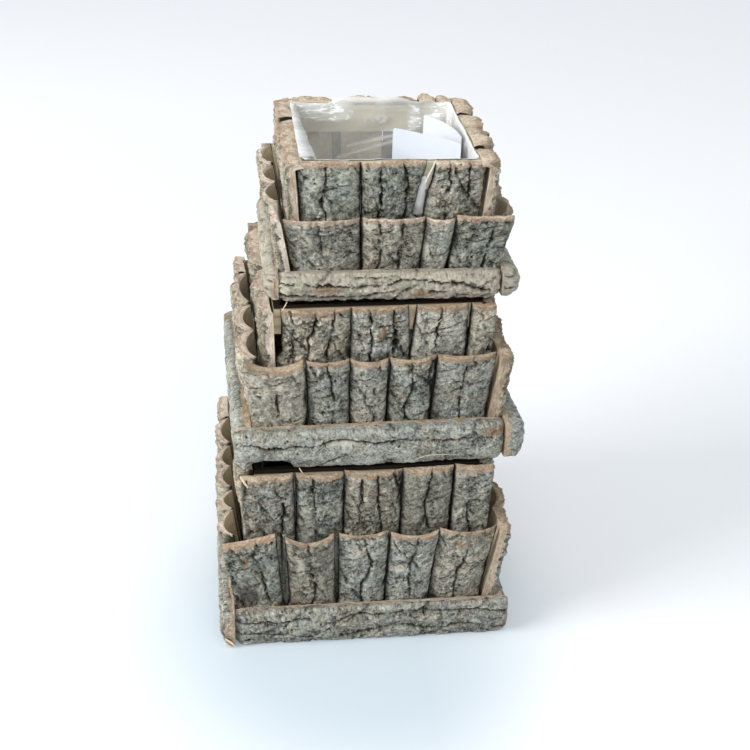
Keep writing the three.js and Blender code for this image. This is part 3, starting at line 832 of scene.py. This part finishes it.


# Sizes are in metres. Each slab has its width and the trims of its two edges as shares of the
# row, and the drop of its top as a share of the tier's height, from left to right from outside.
# Settings of its own follow. A spot has its place on the wall, its reach sideways and upwards and its kind:
# rust and pale colour the bark itself, and dark is painted shade in holes and under a slab's top. The walls
# that run over at the corners are named from the front right one round.
large = {
    "place": (0.0, 0.0, 0.0), "turn": 0.0, "foot": 0.1872, "height": 0.1491, "slab": 0.010,
    "flare": 0.0040, "outer_height": 0.1011, "outer_slab": 0.010, "opening": 0.0064,
    "band_height": 0.0311, "band_thickness": 0.0108, "band_low": 0.0, "band_fuller": {}, "arch": {},
    "band": {"Bulge": 0.0036, "Plates": 2.0, "Shift": 0.45, "Lumps": 0.7, "Stretch": 0.6,
             "Wrap": 0.35, "Tone": 0.6, "Warm": 0.1},
    "lip": 0.0, "dome": 0.0, "crown": 0.0003, "unevenness": 0.0017, "fresh": 0.45,
    "stains_and_shade": {
        "outer_front": (
            (-0.0955, 0.078, 0.003, 0.008, "rust"), (-0.0940, 0.042, 0.011, 0.014, "dark"),
            (-0.0520, 0.072, 0.003, 0.011, "pale"), (0.0250, 0.063, 0.004, 0.006, "pale"),
            (0.0565, 0.033, 0.0028, 0.0028, "dark"), (0.0720, 0.0875, 0.008, 0.002, "rust"),
        ),
        "left_band": ((0.113, 0.014, 0.006, 0.007, "dark"),),
    },
    "inner_over": ("front", "back", "back", "front"),
    "outer_over": ("right", "back", "left", "front"),
    "band_over": ("front", "back", "left", "left"),
    "inner_shares": {
        "front": [(0.2105, 0, 0.002, 0.022, {"Tone": 0.4}), (0.194, 0.004, 0, 0.020, {"Tone": 0.35}),
                  (0.2345, 0.002, 0, 0.014, {"Tone": 0.5}), (0.206, 0, 0.002, 0.008, {"Tone": 0.1}),
                  (0.155, 0, 0, 0.002, {"Tone": 0.5})],
        "right": [(0.21, 0, 0, 0.008), (0.19, 0, 0.01, 0), (0.22, 0, 0, 0.012),
                  (0.18, 0.008, 0, 0.004), (0.2, 0, 0, 0)],
        "back": [(0.24, 0, 0, 0), (0.19, 0, 0.01, 0.012), (0.2, 0, 0, 0.004),
                 (0.17, 0, 0, 0.008), (0.2, 0.008, 0, 0)],
        "left": [(0.19, 0, 0, 0.006), (0.22, 0, 0, 0.012), (0.2, 0.01, 0, 0),
                 (0.2, 0, 0, 0.008), (0.19, 0, 0.006, 0)],
    },
    "outer_shares": {
        "front": [(0.207, 0, 0.015, 0, {"Left Drop": 0.0080, "Right Drop": 0.0, "Tone": 0.3}),
                  (0.204, 0.015, 0.008, 0.012, {"Dip": 0.0050, "Tone": 0.35}),
                  (0.192, 0.007, 0, 0.006, {"Tone": 0.6}), (0.183, 0.004, 0, 0.018, {"Tone": 0.75}),
                  (0.214, 0, 0, 0.006, {"Tone": 0.7})],
        "right": [(0.17, 0, 0, 0.01), (0.2, 0, 0.01, 0.02), (0.22, 0, 0, 0),
                  (0.2, 0.008, 0, 0.02), (0.21, 0, 0, 0.01)],
        "back": [(0.2, 0, 0, 0.01), (0.17, 0, 0.008, 0.02), (0.22, 0, 0, 0),
                 (0.2, 0.01, 0, 0.02), (0.21, 0, 0, 0.01)],
        "left": [(0.17, 0, 0, 0), (0.2, 0, 0.006, 0.012), (0.17, 0.006, 0, 0.02),
                 (0.15, 0, 0.006, 0.006), (0.14, 0.006, 0.01, 0.018), (0.17, 0.012, 0, 0)],
    },
}
build_walls("large", large, np.random.default_rng(11))


# The medium planter stands on the rim of the large one, turned a little. The band across its
# front has a shallow hollow in the lower edge, near the left end.
medium = {
    "place": (0.0066, 0.0203, 0.1494), "turn": 1.2, "foot": 0.1700, "height": 0.1226, "slab": 0.009,
    "flare": 0.0031, "outer_height": 0.0865, "outer_slab": 0.011, "opening": 0.0032,
    "band_height": 0.0308, "band_thickness": 0.0132, "band_low": 0.0002,
    "band_fuller": {"front": 0.0015, "right": 0.003},
    "arch": {"Arch Place": 0.026, "Arch Width": 0.036, "Arch Height": 0.008},
    "band": {"Bulge": 0.0034, "Plates": 1.0, "Shift": 0.62, "Lumps": 0.6, "Stretch": 0.6,
             "Wrap": 0.45, "Tone": 0.6, "Warm": 0.0},
    "lip": 0.0, "dome": 0.0, "crown": 0.0003, "unevenness": 0.0017, "fresh": 0.2,
    "stains_and_shade": {
        "inner_front": ((0.002, 0.100, 0.004, 0.007, "rust"),),
        "front_band": ((0.0910, 0.025, 0.016, 0.004, "rust"), (-0.0300, 0.022, 0.020, 0.003, "pale")),
    },
    "inner_over": ("front", "right", "back", "left"),
    "outer_over": ("right", "back", "left", "front"),
    "band_over": ("right", "back", "back", "front"),
    "inner_shares": {
        "front": [(0.344, 0.031, 0, 0, {"Tone": 0.9, "Warm": 0.4}),
                  (0.2765, 0, 0.017, 0.006, {"Tone": 0.8, "Trim Low": 0.2}),
                  (0.2625, 0.020, 0.006, 0, {"Tone": 1.2, "Trim Low": 0.2}),
                  (0.117, 0.006, 0, 0.004, {"Tone": 1.0})],
        "right": [(0.27, 0, 0, 0.01), (0.22, 0, 0, 0), (0.26, 0, 0.01, 0.006), (0.25, 0, 0, 0)],
        "back": [(0.24, 0, 0, 0), (0.28, 0, 0.01, 0.012), (0.22, 0, 0, 0.004), (0.26, 0.008, 0, 0)],
        "left": [(0.25, 0, 0, 0.006), (0.24, 0, 0, 0), (0.27, 0.01, 0, 0.01), (0.24, 0, 0, 0)],
    },
    "outer_shares": {
        "front": [(0.232, 0, 0, 0, {"Dip": 0.0060, "Tone": 1.2}), (0.18, 0.006, 0, 0.02, {"Tone": 0.5}),
                  (0.159, 0, 0.006, 0.02, {"Tone": 0.6}), (0.185, 0, 0, 0.01, {"Tone": 0.5}),
                  (0.244, 0.004, 0, 0, {"Tone": 0.5})],
        "right": [(0.22, 0, 0, 0.01), (0.27, 0, 0.01, 0.02), (0.24, 0, 0, 0), (0.27, 0.008, 0, 0.01)],
        "back": [(0.21, 0, 0, 0.01), (0.19, 0, 0.008, 0.02), (0.2, 0, 0, 0),
                 (0.19, 0.01, 0, 0.02), (0.21, 0, -0.015, 0.01)],
        "left": [(0.19, 0, 0.01, 0.01), (0.31, 0.012, 0.006, 0), (0.24, 0.008, 0.006, 0.01),
                 (0.26, 0.008, 0, 0)],
    },
}
build_walls("medium", medium, np.random.default_rng(22))


# The small planter stands on the rim of the medium one, turned the other way. Its slabs leave
# open gaps in the front and the back wall, through which the laths and the film show.
small = {
    "place": (0.0181, 0.0356, 0.2723), "turn": -0.5, "foot": 0.1480, "height": 0.1015, "slab": 0.009,
    "flare": 0.0056, "outer_height": 0.0646, "outer_slab": 0.0085, "opening": 0.0039,
    "band_height": 0.0215, "band_thickness": 0.0084, "band_low": 0.0003, "arch": {},
    "band_fuller": {"front": 0.004, "right": 0.006, "left": 0.002},
    "band": {"Bulge": 0.0050, "Plates": 3.0, "Shift": 0.5, "Lumps": 0.6, "Stretch": 0.35,
             "Wrap": 0.8, "Tone": 1.5, "Warm": 0.5},
    "lip": 0.0063, "dome": 0.0020, "crown": 0.0012, "unevenness": 0.0010, "fresh": 0.7,
    "stains_and_shade": {
        "inner_front": ((0.0380, 0.0915, 0.0020, 0.0018, "dark"), (0.0385, 0.0990, 0.006, 0.0016, "dark")),
        "outer_front": ((-0.0190, 0.059, 0.004, 0.007, "pale"), (0.0250, 0.035, 0.004, 0.006, "pale")),
        "front_band": ((0.0220, 0.006, 0.011, 0.004, "rust"), (-0.0500, 0.010, 0.014, 0.003, "rust")),
    },
    "inner_over": ("right", "right", "left", "left"),
    "outer_over": ("front", "right", "back", "left"),
    "band_over": ("right", "back", "back", "left"),
    "inner_shares": {
        "front": [(0.335, 0, 0.004, -0.01, {"Tone": 0.7}),
                  (0.345, 0.004, 0.060, -0.01, {"Trim High": 0.0, "Trim From": 0.0600, "Tone": 0.3}),
                  (0.32, 0.046, 0, -0.006, {"Trim Low": 0.0, "Trim From": 0.0600, "Tone": 0.6})],
        "right": [(0.22, 0, 0, -0.01), (0.3, 0.01, 0, -0.018), (0.22, 0, 0.01, -0.008),
                  (0.26, 0, 0, -0.014, {"Round Right": 0.006})],
        # A negative setting paints a back slab's inner face dark, as painted shade in the gaps and behind
        # the cards.
        "back": [(0.125, 0.03, 0, -0.02), (0.105, 0, 0, -0.028),
                 (0.200, 0, 0.006, -0.022,
                  {"Arch Place": 0.012, "Arch Width": 0.062, "Arch Height": 0.014, "Fresh": -1.0}),
                 (0.257, 0, 0, -0.022, {"Tone": 1.3, "Fresh": 1.3}),
                 (0.045, 0, 0, 0.10, {"Fresh": -0.5}), (0.268, 0, 0, -0.026)],
        "left": [(0.325, 0, 0.006, -0.014, {"Round Left": 0.008, "Fresh": 0.7}),
                 (0.405, 0.006, 0, -0.008, {"Fresh": 0.7}), (0.27, 0.006, 0, -0.012, {"Fresh": 0.7})],
    },
    "outer_shares": {
        "front": [(0.335, 0, 0.004, 0, {"Tone": 0.6, "Fresh": 1.3}),
                  (0.283, 0.004, 0, 0, {"Tone": 0.5, "Fresh": 1.3}),
                  (0.132, 0, 0, 0.01, {"Tone": 0.7, "Fresh": 1.3}), (0.250, 0, 0, 0, {"Tone": 0.35})],
        "right": [(0.27, 0, 0, 0.01), (0.23, 0, 0.01, 0.02), (0.24, 0, 0, 0), (0.26, 0.01, 0, 0.02)],
        "back": [(0.26, 0, 0, 0.01), (0.22, 0, 0.01, 0.02, {"Fresh": -1.0}), (0.26, 0, 0, 0),
                 (0.26, 0.01, 0, 0.02)],
        "left": [(0.27, 0, 0.01, 0.01, {"Fresh": 2.0}), (0.24, 0.01, 0.01, 0.02, {"Fresh": 2.0}),
                 (0.25, 0.01, 0.01, 0.01, {"Fresh": 2.0}), (0.24, 0.01, 0, 0, {"Fresh": 2.0})],
    },
}
build_walls("small", small, np.random.default_rng(33))


# Each planter is lined with a bag of thin clear film that stands on the base board. It was pushed
# in by hand, so it hangs in flat facets between creases. In the small planter it stands up
# past the laths, and its left side slopes inwards.
def film_material():
    material, board, shader = new_material("clear_film")

    sheet = board.kept("sheet", "Vector")
    clouds = board.noise(sheet, 38, 3.0, 0.6)
    crumple = board.kept("crumple")
    # Thin streaks in the crinkled patches, the glints and the crumpled patches whiten the film as painted
    # highlights.
    drawn = board.mapped(sheet, 0.30, (95.0, 480.0, 1.0))
    streaks = board.span(board.noise(drawn, 1.0, 3.0, 0.6), 0.53, 0.60)
    painted_streak_highlights = streaks * board.span(crumple, 0.02, 0.60)
    glint = board.least(board.kept("glint") + painted_streak_highlights, 1.0)
    veil = board.kept("veil")
    cloudy = board.span(clouds, 0.35, 0.7)
    haze_and_highlights = board.total((veil, 0.24), (glint, 0.75), (crumple, 0.40), (cloudy, 0.06))
    board.feed(shader, {"Alpha": board.least(haze_and_highlights + 0.08, 1.0)})
    # Where the veil is thick the film turns bluish white; along the left rim that is partly painted light.
    colour = board.mix(board.span(veil, 1.2, 2.8), paint(244, 243, 237), paint(246, 250, 255))
    # The glints are painted white, as painted highlights.
    colour = board.mix(glint, colour, paint(255, 255, 255))
    board.surface(shader, colour, board.span(clouds, 0.3, 0.7, 0.08, 0.2), (clouds, 0.3, 0.003), 0.9)
    return material


def facet(along, rise, cell, slant, salt):
    """How far a creased sheet stands out at a place, and a value of the flat facet there."""
    warp = Vector((along * 20, rise * 20, salt))
    u = (along + slant * rise) / cell + 0.5 * noise.noise(warp)
    v = rise / (1.5 * cell) + 0.5 * noise.noise(warp + Vector((0, 0, 7.3)))
    column = math.floor(u)
    row = math.floor(v)
    s = u - column
    t = v - row

    def node(right, up, kind):
        return 0.5 + 0.5 * noise.cell(Vector((column + right + 0.5, row + up + 0.5, salt + kind + 0.5)))

    if s + t < 1:
        height = node(0, 0, 0) * (1 - s - t) + node(1, 0, 0) * s + node(0, 1, 0) * t
        return height, node(0, 0, 20)
    height = node(1, 1, 0) * (s + t - 1) + node(0, 1, 0) * (1 - s) + node(1, 0, 0) * (1 - t)
    return height, node(0, 0, 40)


def clamped(value):
    return min(1.0, max(0.0, value))


def near_line(x, z, line, width):
    """1 on a line from one point to another, falling to 0 at its width."""
    (x0, z0), (x1, z1) = line
    run = Vector((x1 - x0, z1 - z0))
    way = Vector((x - x0, z - z0))
    share = clamped((way @ run) / run.length_squared)
    return max(0.0, 1 - (way - run * share).length / width)


def crinkles_at(point, z, glints):
    """How near a place is to the middle of each crumpled patch, and how the film crinkles there."""
    for x, y, level, wide, tall in glints:
        away = Vector((point.x - x, point.y - y)).length / wide
        window = max(0.0, 1 - away ** 2 - ((z - level) / tall) ** 2) ** 2
        warp = Vector((point.x * 110 + z * 150, point.y * 110, z * 330 - point.x * 60))
        yield window, noise.noise(warp)


def torn_rim(point, out):
    """How far the torn rim stands up at a place, most of all in the middle of the back."""
    ragged = noise.noise(Vector((point.x * 42, point.y * 42, 7.0)))
    jagged = noise.noise(Vector((point.x * 160, point.y * 160, 3.0)))
    over_back = max(0.0, 1 - ((point.x + 0.002) / 0.034) ** 4) * max(0.0, out.y)
    front_share = 0.4 if out.y < -0.5 else 1.0
    return (0.0022 + 0.0018 * ragged) * front_share + 0.0005 * jagged + 0.0048 * over_back


def ring_faces(rings, around):
    """The faces between rings of corners, and the one that closes the first ring."""
    faces = []
    for row in range(rings - 1):
        for place in range(around):
            after = (place + 1) % around
            low, high = row * around, (row + 1) * around
            faces.append((low + place, low + after, high + after, high + place))
    faces.append(tuple(range(around))[::-1])
    return faces


def thicken(sheet):
    """Gives a sheet of film its thickness, on the side that its normals point away from."""
    wall = sheet.modifiers.new("wall", "SOLIDIFY")
    wall.thickness = 0.0002
    wall.offset = -1


def fold_liner(planter, sizes, film, step, stands_up, left_slopes, lines, glints):
    """The bag of one planter, as a thin closed skin inside the laths."""
    lath_height, lath_thickness, lath_drop = 0.021, 0.005, 0.0025
    board_top = 0.008
    inner_face = sizes["foot"] / 2 - sizes["slab"]
    lath_top = sizes["height"] - lath_drop
    lean = sizes["flare"] / (sizes["height"] - sizes["band_height"])
    lath_reach = inner_face + lean * (lath_top - lath_height - sizes["band_height"]) - glue_gap
    reach = min(lath_reach - lath_thickness, inner_face) - glue_gap
    foot = board_top + glue_gap
    corner = 0.003
    straight = 2 * (reach - corner)
    side_length = straight + math.pi * corner / 2
    steps_round = 4 * round(side_length / step)

    def outline(share):
        """A point on the bag's rounded square, and the way out of it."""
        side, rest = divmod(share * 4, 1)
        travel = rest * side_length
        if travel < straight:
            point = Vector((travel - straight / 2, -reach, 0))
            out = Vector((0, -1, 0))
        else:
            angle = (travel - straight) / corner
            out = Vector((math.sin(angle), -math.cos(angle), 0))
            point = Vector((straight / 2, -reach + corner, 0)) + out * corner
        turn = Matrix.Rotation(side * math.pi / 2, 3, "Z")
        return turn @ point, turn @ out

    top = lath_top + 0.0006 if stands_up else lath_top - 0.004
    last = top - step / 2
    steps_up = round((top - foot) / step)
    heights = [foot + (top - foot) * row / steps_up for row in range(steps_up + 1)]
    points = []
    sheet = []
    looks = []
    for z in heights:
        for place in range(steps_round):
            share = place / steps_round
            point, out = outline(share)
            along = share * 4 * side_length
            from_seam = min(share, 1 - share) * 4 * side_length
            broad, own = facet(along, z, 0.024, 0.7, 3.0 + sizes["turn"])
            fine, other = facet(along, z, 0.009, -0.5, 11.0)
            slack = min(1.0, 0.15 + (top - z) / 0.012)
            near_seam = min(1.0, from_seam / 0.008)
            inward = 0.0004 + near_seam * slack * (0.0034 * broad + 0.0006 * fine)
            frontness = (reach - point.y) / (2 * reach)
            leftness = max(0.0, -out.x)
            rightness = max(0.0, out.x)
            backness = max(0.0, out.y)
            slope = (0.002 + 0.013 * frontness) * left_slopes * leftness
            inward += slope * clamped((top - z) / 0.030)
            veil = 0.25 + 0.35 * own + 0.12 * other
            # The veil thickens along the left rim, partly as painted light shining through the film, and
            # along the back rim and on the right and front walls.
            if stands_up:
                if z > last:
                    inward = -0.0034 * max(leftness, -out.y)
                    veil += 1.1 * leftness
                else:
                    inward += 0.0066 * leftness * frontness
                near_top = max(0.0, 1 - (top - z) / 0.012)
                blotch = 0.75 + 0.6 * noise.noise(Vector((point.x * 60, point.y * 60, z * 60)))
                veil += leftness * 0.35 * near_top * blotch + rightness * (0.9 + 0.8 * near_top)
                at_rim = max(0.0, 1 - (top - z) / 0.005)
                veil += backness * (0.1 + (1.0 if abs(point.x) < 0.032 else 0.2) * at_rim)
            veil += leftness * (0.3 + 0.2 * frontness) * clamped((z - top + 0.045) / 0.006)
            veil += 2.6 * (out.y < -0.8)
            # The two light lines on the back are painted highlights along creases.
            shine = 0.0
            if lines and out.y > 0.8:
                shine = 0.4 * max(near_line(point.x, z, line, 0.0020) for line in lines)
            crumple = 0.0
            for window, crinkle in crinkles_at(point, z, glints):
                crumple = max(crumple, window)
                inward += 0.0012 * window * crinkle * slack
            spot = point - out * inward
            rise = max(0.0, 1 - (top - z) / 0.010) * torn_rim(point, out) if stands_up else 0.0
            points.append(Vector((spot.x, spot.y, z + rise)))
            sheet.append((along, z, 0.0))
            looks.append((veil, shine, crumple))
    floor_rings = 12
    floor_points = []
    for row in range(1, floor_rings):
        share = row / floor_rings
        for edge in points[:steps_round]:
            x, y = edge.x * share, edge.y * share
            broad = facet(x, y, 0.024, 0.4, 31.0)[0]
            floor_points.append(Vector((x, y, foot + 0.0004 + 0.0016 * broad * (1 - share))))
    sheet = [(point.x, point.y, 1.0) for point in floor_points] + sheet
    looks = [(0.4, 0.0, 0.0)] * len(floor_points) + looks
    corners = [stand_of(sizes) @ point for point in floor_points + points]
    faces = ring_faces(len(corners) // steps_round, steps_round)
    floats = dict(zip(film_looks, zip(*looks)))
    liner = new_piece(f"film.{planter}_liner", corners, faces, film, floats, {"sheet": sheet})
    thicken(liner)
    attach(liner, f"{planter}_planter")
    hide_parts(f"{planter}_film_liner")


film = film_material()
film_looks = ("veil", "glint", "crumple")
fold_liner("large", large, film, 0.0035, False, 0.3, (), ())
fold_liner("medium", medium, film, 0.0035, False, 0.3, (), ())
back_highlight_lines = (((-0.0276, 0.0569), (0.0194, 0.0715)), ((-0.0196, 0.0667), (0.0192, 0.0757)))
# Patches where the film is crinkled: pushed in, and whitened with painted highlights.
crinkles = (
    (-0.046, 0.063, 0.0980, 0.024, 0.013), (-0.028, 0.063, 0.094, 0.015, 0.010),
    (0.034, 0.063, 0.086, 0.008, 0.018), (0.008, 0.063, 0.088, 0.006, 0.005),
    (0.058, 0.058, 0.094, 0.020, 0.020),
)
fold_liner("small", small, film, 0.0012, True, 1.0, back_highlight_lines, crinkles)


# A fold of the small planter's film is pushed out below the front lath, into the gap between two
# slabs. It is a strip that narrows towards the rim.
def sheet_faces(across, up):
    """The faces of a sheet that is so many faces wide and so many tall."""
    wide = across + 1
    starts = [row * wide + step for row in range(up) for step in range(across)]
    return [(a, a + 1, a + wide + 1, a + wide) for a in starts]


def push_fold():
    low = (0.0590, 0.0163, 0.0236, -0.0692)
    high = (0.0895, 0.0212, 0.0262, -0.0706)
    across, up = 10, 40
    stand = stand_of(small)
    corners = []
    for row in range(up + 1):
        share = row / up
        z, left, right, y = (start + (end - start) * share for start, end in zip(low, high))
        for step in range(across + 1):
            s = step / across
            ragged = 0.0005 * noise.noise(Vector((s * 3, share * 9, 5.0)))
            bulge = 0.0012 * math.sin(math.pi * s) + 0.0010 * facet(s * 0.008, z, 0.005, 0.6, 51.0)[0]
            corners.append(stand @ Vector((left + (right - left) * s + ragged, y - bulge, z)))
    floats = {name: [level] * len(corners) for name, level in zip(film_looks, (1.6, 0.0, 0.0))}
    faces = sheet_faces(across, up)
    fold = new_piece("film.small_gap_fold", corners, faces, film, floats, {"sheet": corners})
    thicken(fold)
    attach(fold, "small_planter")


push_fold()


# Two plain paper cards stand loose in the small planter. They are stiff printed paper, bowed a
# little, and lean towards the right wall. The printing is left off.
def card_material():
    material, board, shader = new_material("card_paper")
    place = board.place()
    fibre = board.noise(place, 900, 3.0, 0.6)
    cloud = board.noise(place, 20, 2.0)
    tint = board.ramp(cloud, (0.3, paint(210, 215, 224)), (0.7, paint(220, 224, 231)))
    board.surface(shader, tint, board.span(fibre, 0.3, 0.7, 0.5, 0.38), (fibre, 0.1, 0.0002))
    return material


def bend_card(name, place, turn, bow, tilt, paper):
    """A thin bowed sheet with its lower edge at a place inside the small planter."""
    width, height, thickness, corner = 0.060, 0.091, 0.0006, 0.001
    across, up = 36, 24
    upright = Matrix.Translation(place) @ Matrix.Rotation(math.radians(turn), 4, "Z")
    stand = stand_of(small) @ upright
    corners = []
    for side in (0, 1):
        for row in range(up + 1):
            for step in range(across + 1):
                s = 2 * step / across - 1
                rise = row / up
                edge = max(0.0, abs(s) * width / 2 - (width / 2 - corner)) / corner
                from_end = corner * (1 - math.sqrt(max(0.0, 1 - edge * edge)))
                z = min(max(rise * height, from_end), height - from_end)
                y = bow * (1 - s * s) + tilt * rise * s + side * thickness
                corners.append(stand @ Vector((s * width / 2, y, z)))
    faces = []
    wide = across + 1
    count = wide * (up + 1)
    for a, b, c, d in sheet_faces(across, up):
        faces.append((a, b, c, d))
        faces.append((count + a, count + d, count + c, count + b))

    def close_edge(start, end, flip):
        face = (start, end, count + end, count + start)
        faces.append(face[::-1] if flip else face)

    for row in range(up):
        for start, flip in ((row * wide, False), (row * wide + across, True)):
            close_edge(start, start + wide, flip)
    for step in range(across):
        for start, flip in ((step, True), (up * wide + step, False)):
            close_edge(start, start + 1, flip)
    return new_piece(name, corners, faces, paper, sharp_from=40)


paper = card_material()
for name, place, turn, bow, tilt in (
    ("front_card", (0.0330, -0.0135, 0.0092), -39, 0.0015, 0.0),
    ("back_card", (0.0485, 0.0100, 0.0092), -70, 0.005, 0.0),
):
    card = bend_card(f"paper.{name}", place, turn, bow, tilt, paper)
    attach(card, f"loose_{name}")
    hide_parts(name)


# Straws, torn fibres and pale splinters of the raw bark are caught at the rims and corners.
def bit_material(name, light, dark):
    material, board, shader = new_material(name)
    streak = board.noise(board.place(), 700, 3.0, 0.6)
    tint = board.ramp(streak, (0.35, dark), (0.65, light))
    board.surface(shader, tint, board.span(streak, 0.3, 0.7, 0.75, 0.5), (streak, 0.3, 0.0002))
    return material


def lay_bit(name, planter, sizes, material, path, width, flatness=1.0, taper=0.3):
    """A closed sliver along a path in its planter's frame, thickest in the middle."""
    stand = stand_of(sizes)
    points = [stand @ Vector(point) for point in path]
    steps, around = 24, 8
    corners = []
    for step in range(steps + 1):
        share = step / steps * (len(points) - 1)
        at = min(int(share), len(points) - 2)
        t = share - at
        p0, p1, p2, p3 = (points[max(0, min(len(points) - 1, at + k))] for k in (-1, 0, 1, 2))
        second = (2 * p0 - 5 * p1 + 4 * p2 - p3) * t * t
        third = (3 * p1 - p0 - 3 * p2 + p3) * t ** 3
        here = 0.5 * (2 * p1 + (p2 - p0) * t + second + third)
        ahead = ((p2 - p0) * (1 - t) + (p3 - p1) * t).normalized()
        side = ahead.cross(Vector((0.2, 0.9, 0.4))).normalized()
        top = side.cross(ahead).normalized()
        swell = taper + (1 - taper) * math.sin(math.pi * step / steps)
        for spoke in range(around):
            angle = 2 * math.pi * spoke / around
            spread = side * math.cos(angle) + top * math.sin(angle) * flatness
            corners.append(here + spread * width / 2 * swell)
    faces = ring_faces(steps + 1, around)
    faces.append(tuple(steps * around + spoke for spoke in range(around)))
    bit = new_piece(name, corners, faces, material)
    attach(bit, f"{planter}_planter")


straw = bit_material("straw", paint(226, 208, 172), paint(186, 160, 120))
splinter = bit_material("splinter", paint(236, 220, 190), paint(206, 180, 140))
lay_bit("straw.medium_corner", "medium", medium, straw,
        ((-0.0689, -0.0880, 0.1301), (-0.0703, -0.0882, 0.1269), (-0.0732, -0.0876, 0.1215)), 0.0008)
lay_bit("straw.medium_slab", "medium", medium, straw,
        ((0.0464, -0.0892, 0.1130), (0.0414, -0.0896, 0.1083), (0.0357, -0.0890, 0.1018)), 0.0005)
lay_bit("fibre.medium_band", "medium", medium, straw,
        ((0.0250, -0.1120, 0.0030), (0.0300, -0.1128, 0.0068), (0.0380, -0.1132, 0.0090),
         (0.0510, -0.1128, 0.0086), (0.0640, -0.1120, 0.0070)), 0.0005)
lay_bit("fibre.large_rim", "large", large, straw,
        ((-0.0533, -0.0965, 0.1545), (-0.0518, -0.0970, 0.1518), (-0.0495, -0.0962, 0.1475)), 0.0009)
lay_bit("splinter.large_rim", "large", large, splinter,
        ((-0.0975, -0.0972, 0.1490), (-0.0946, -0.0976, 0.1439), (-0.0917, -0.0972, 0.1384)), 0.0022, 0.5)
lay_bit("splinter.large_foot", "large", large, splinter,
        ((-0.1122, -0.1148, 0.0095), (-0.1075, -0.1156, 0.0057), (-0.1040, -0.1150, 0.0010)), 0.0026, 0.5)
lay_bit("splinter.large_foot_low", "large", large, splinter,
        ((-0.1136, -0.1146, 0.0052), (-0.1100, -0.1154, 0.0030), (-0.1062, -0.1148, 0.0008)), 0.0020, 0.5)
pale_splinter = bit_material("pale_splinter", paint(222, 217, 208), paint(186, 179, 168))
lay_bit("splinter.small_gap", "small", small, pale_splinter,
        ((0.0303, -0.0790, 0.1042), (0.0276, -0.0792, 0.0973), (0.0250, -0.0782, 0.0905),
         (0.0236, -0.0764, 0.0850)), 0.0015, 0.5, 0.55)


sides = {"cad": cad_box, "visual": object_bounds()}
{name: [list(map(float, corner)) for corner in box] for name, box in sides.items()}
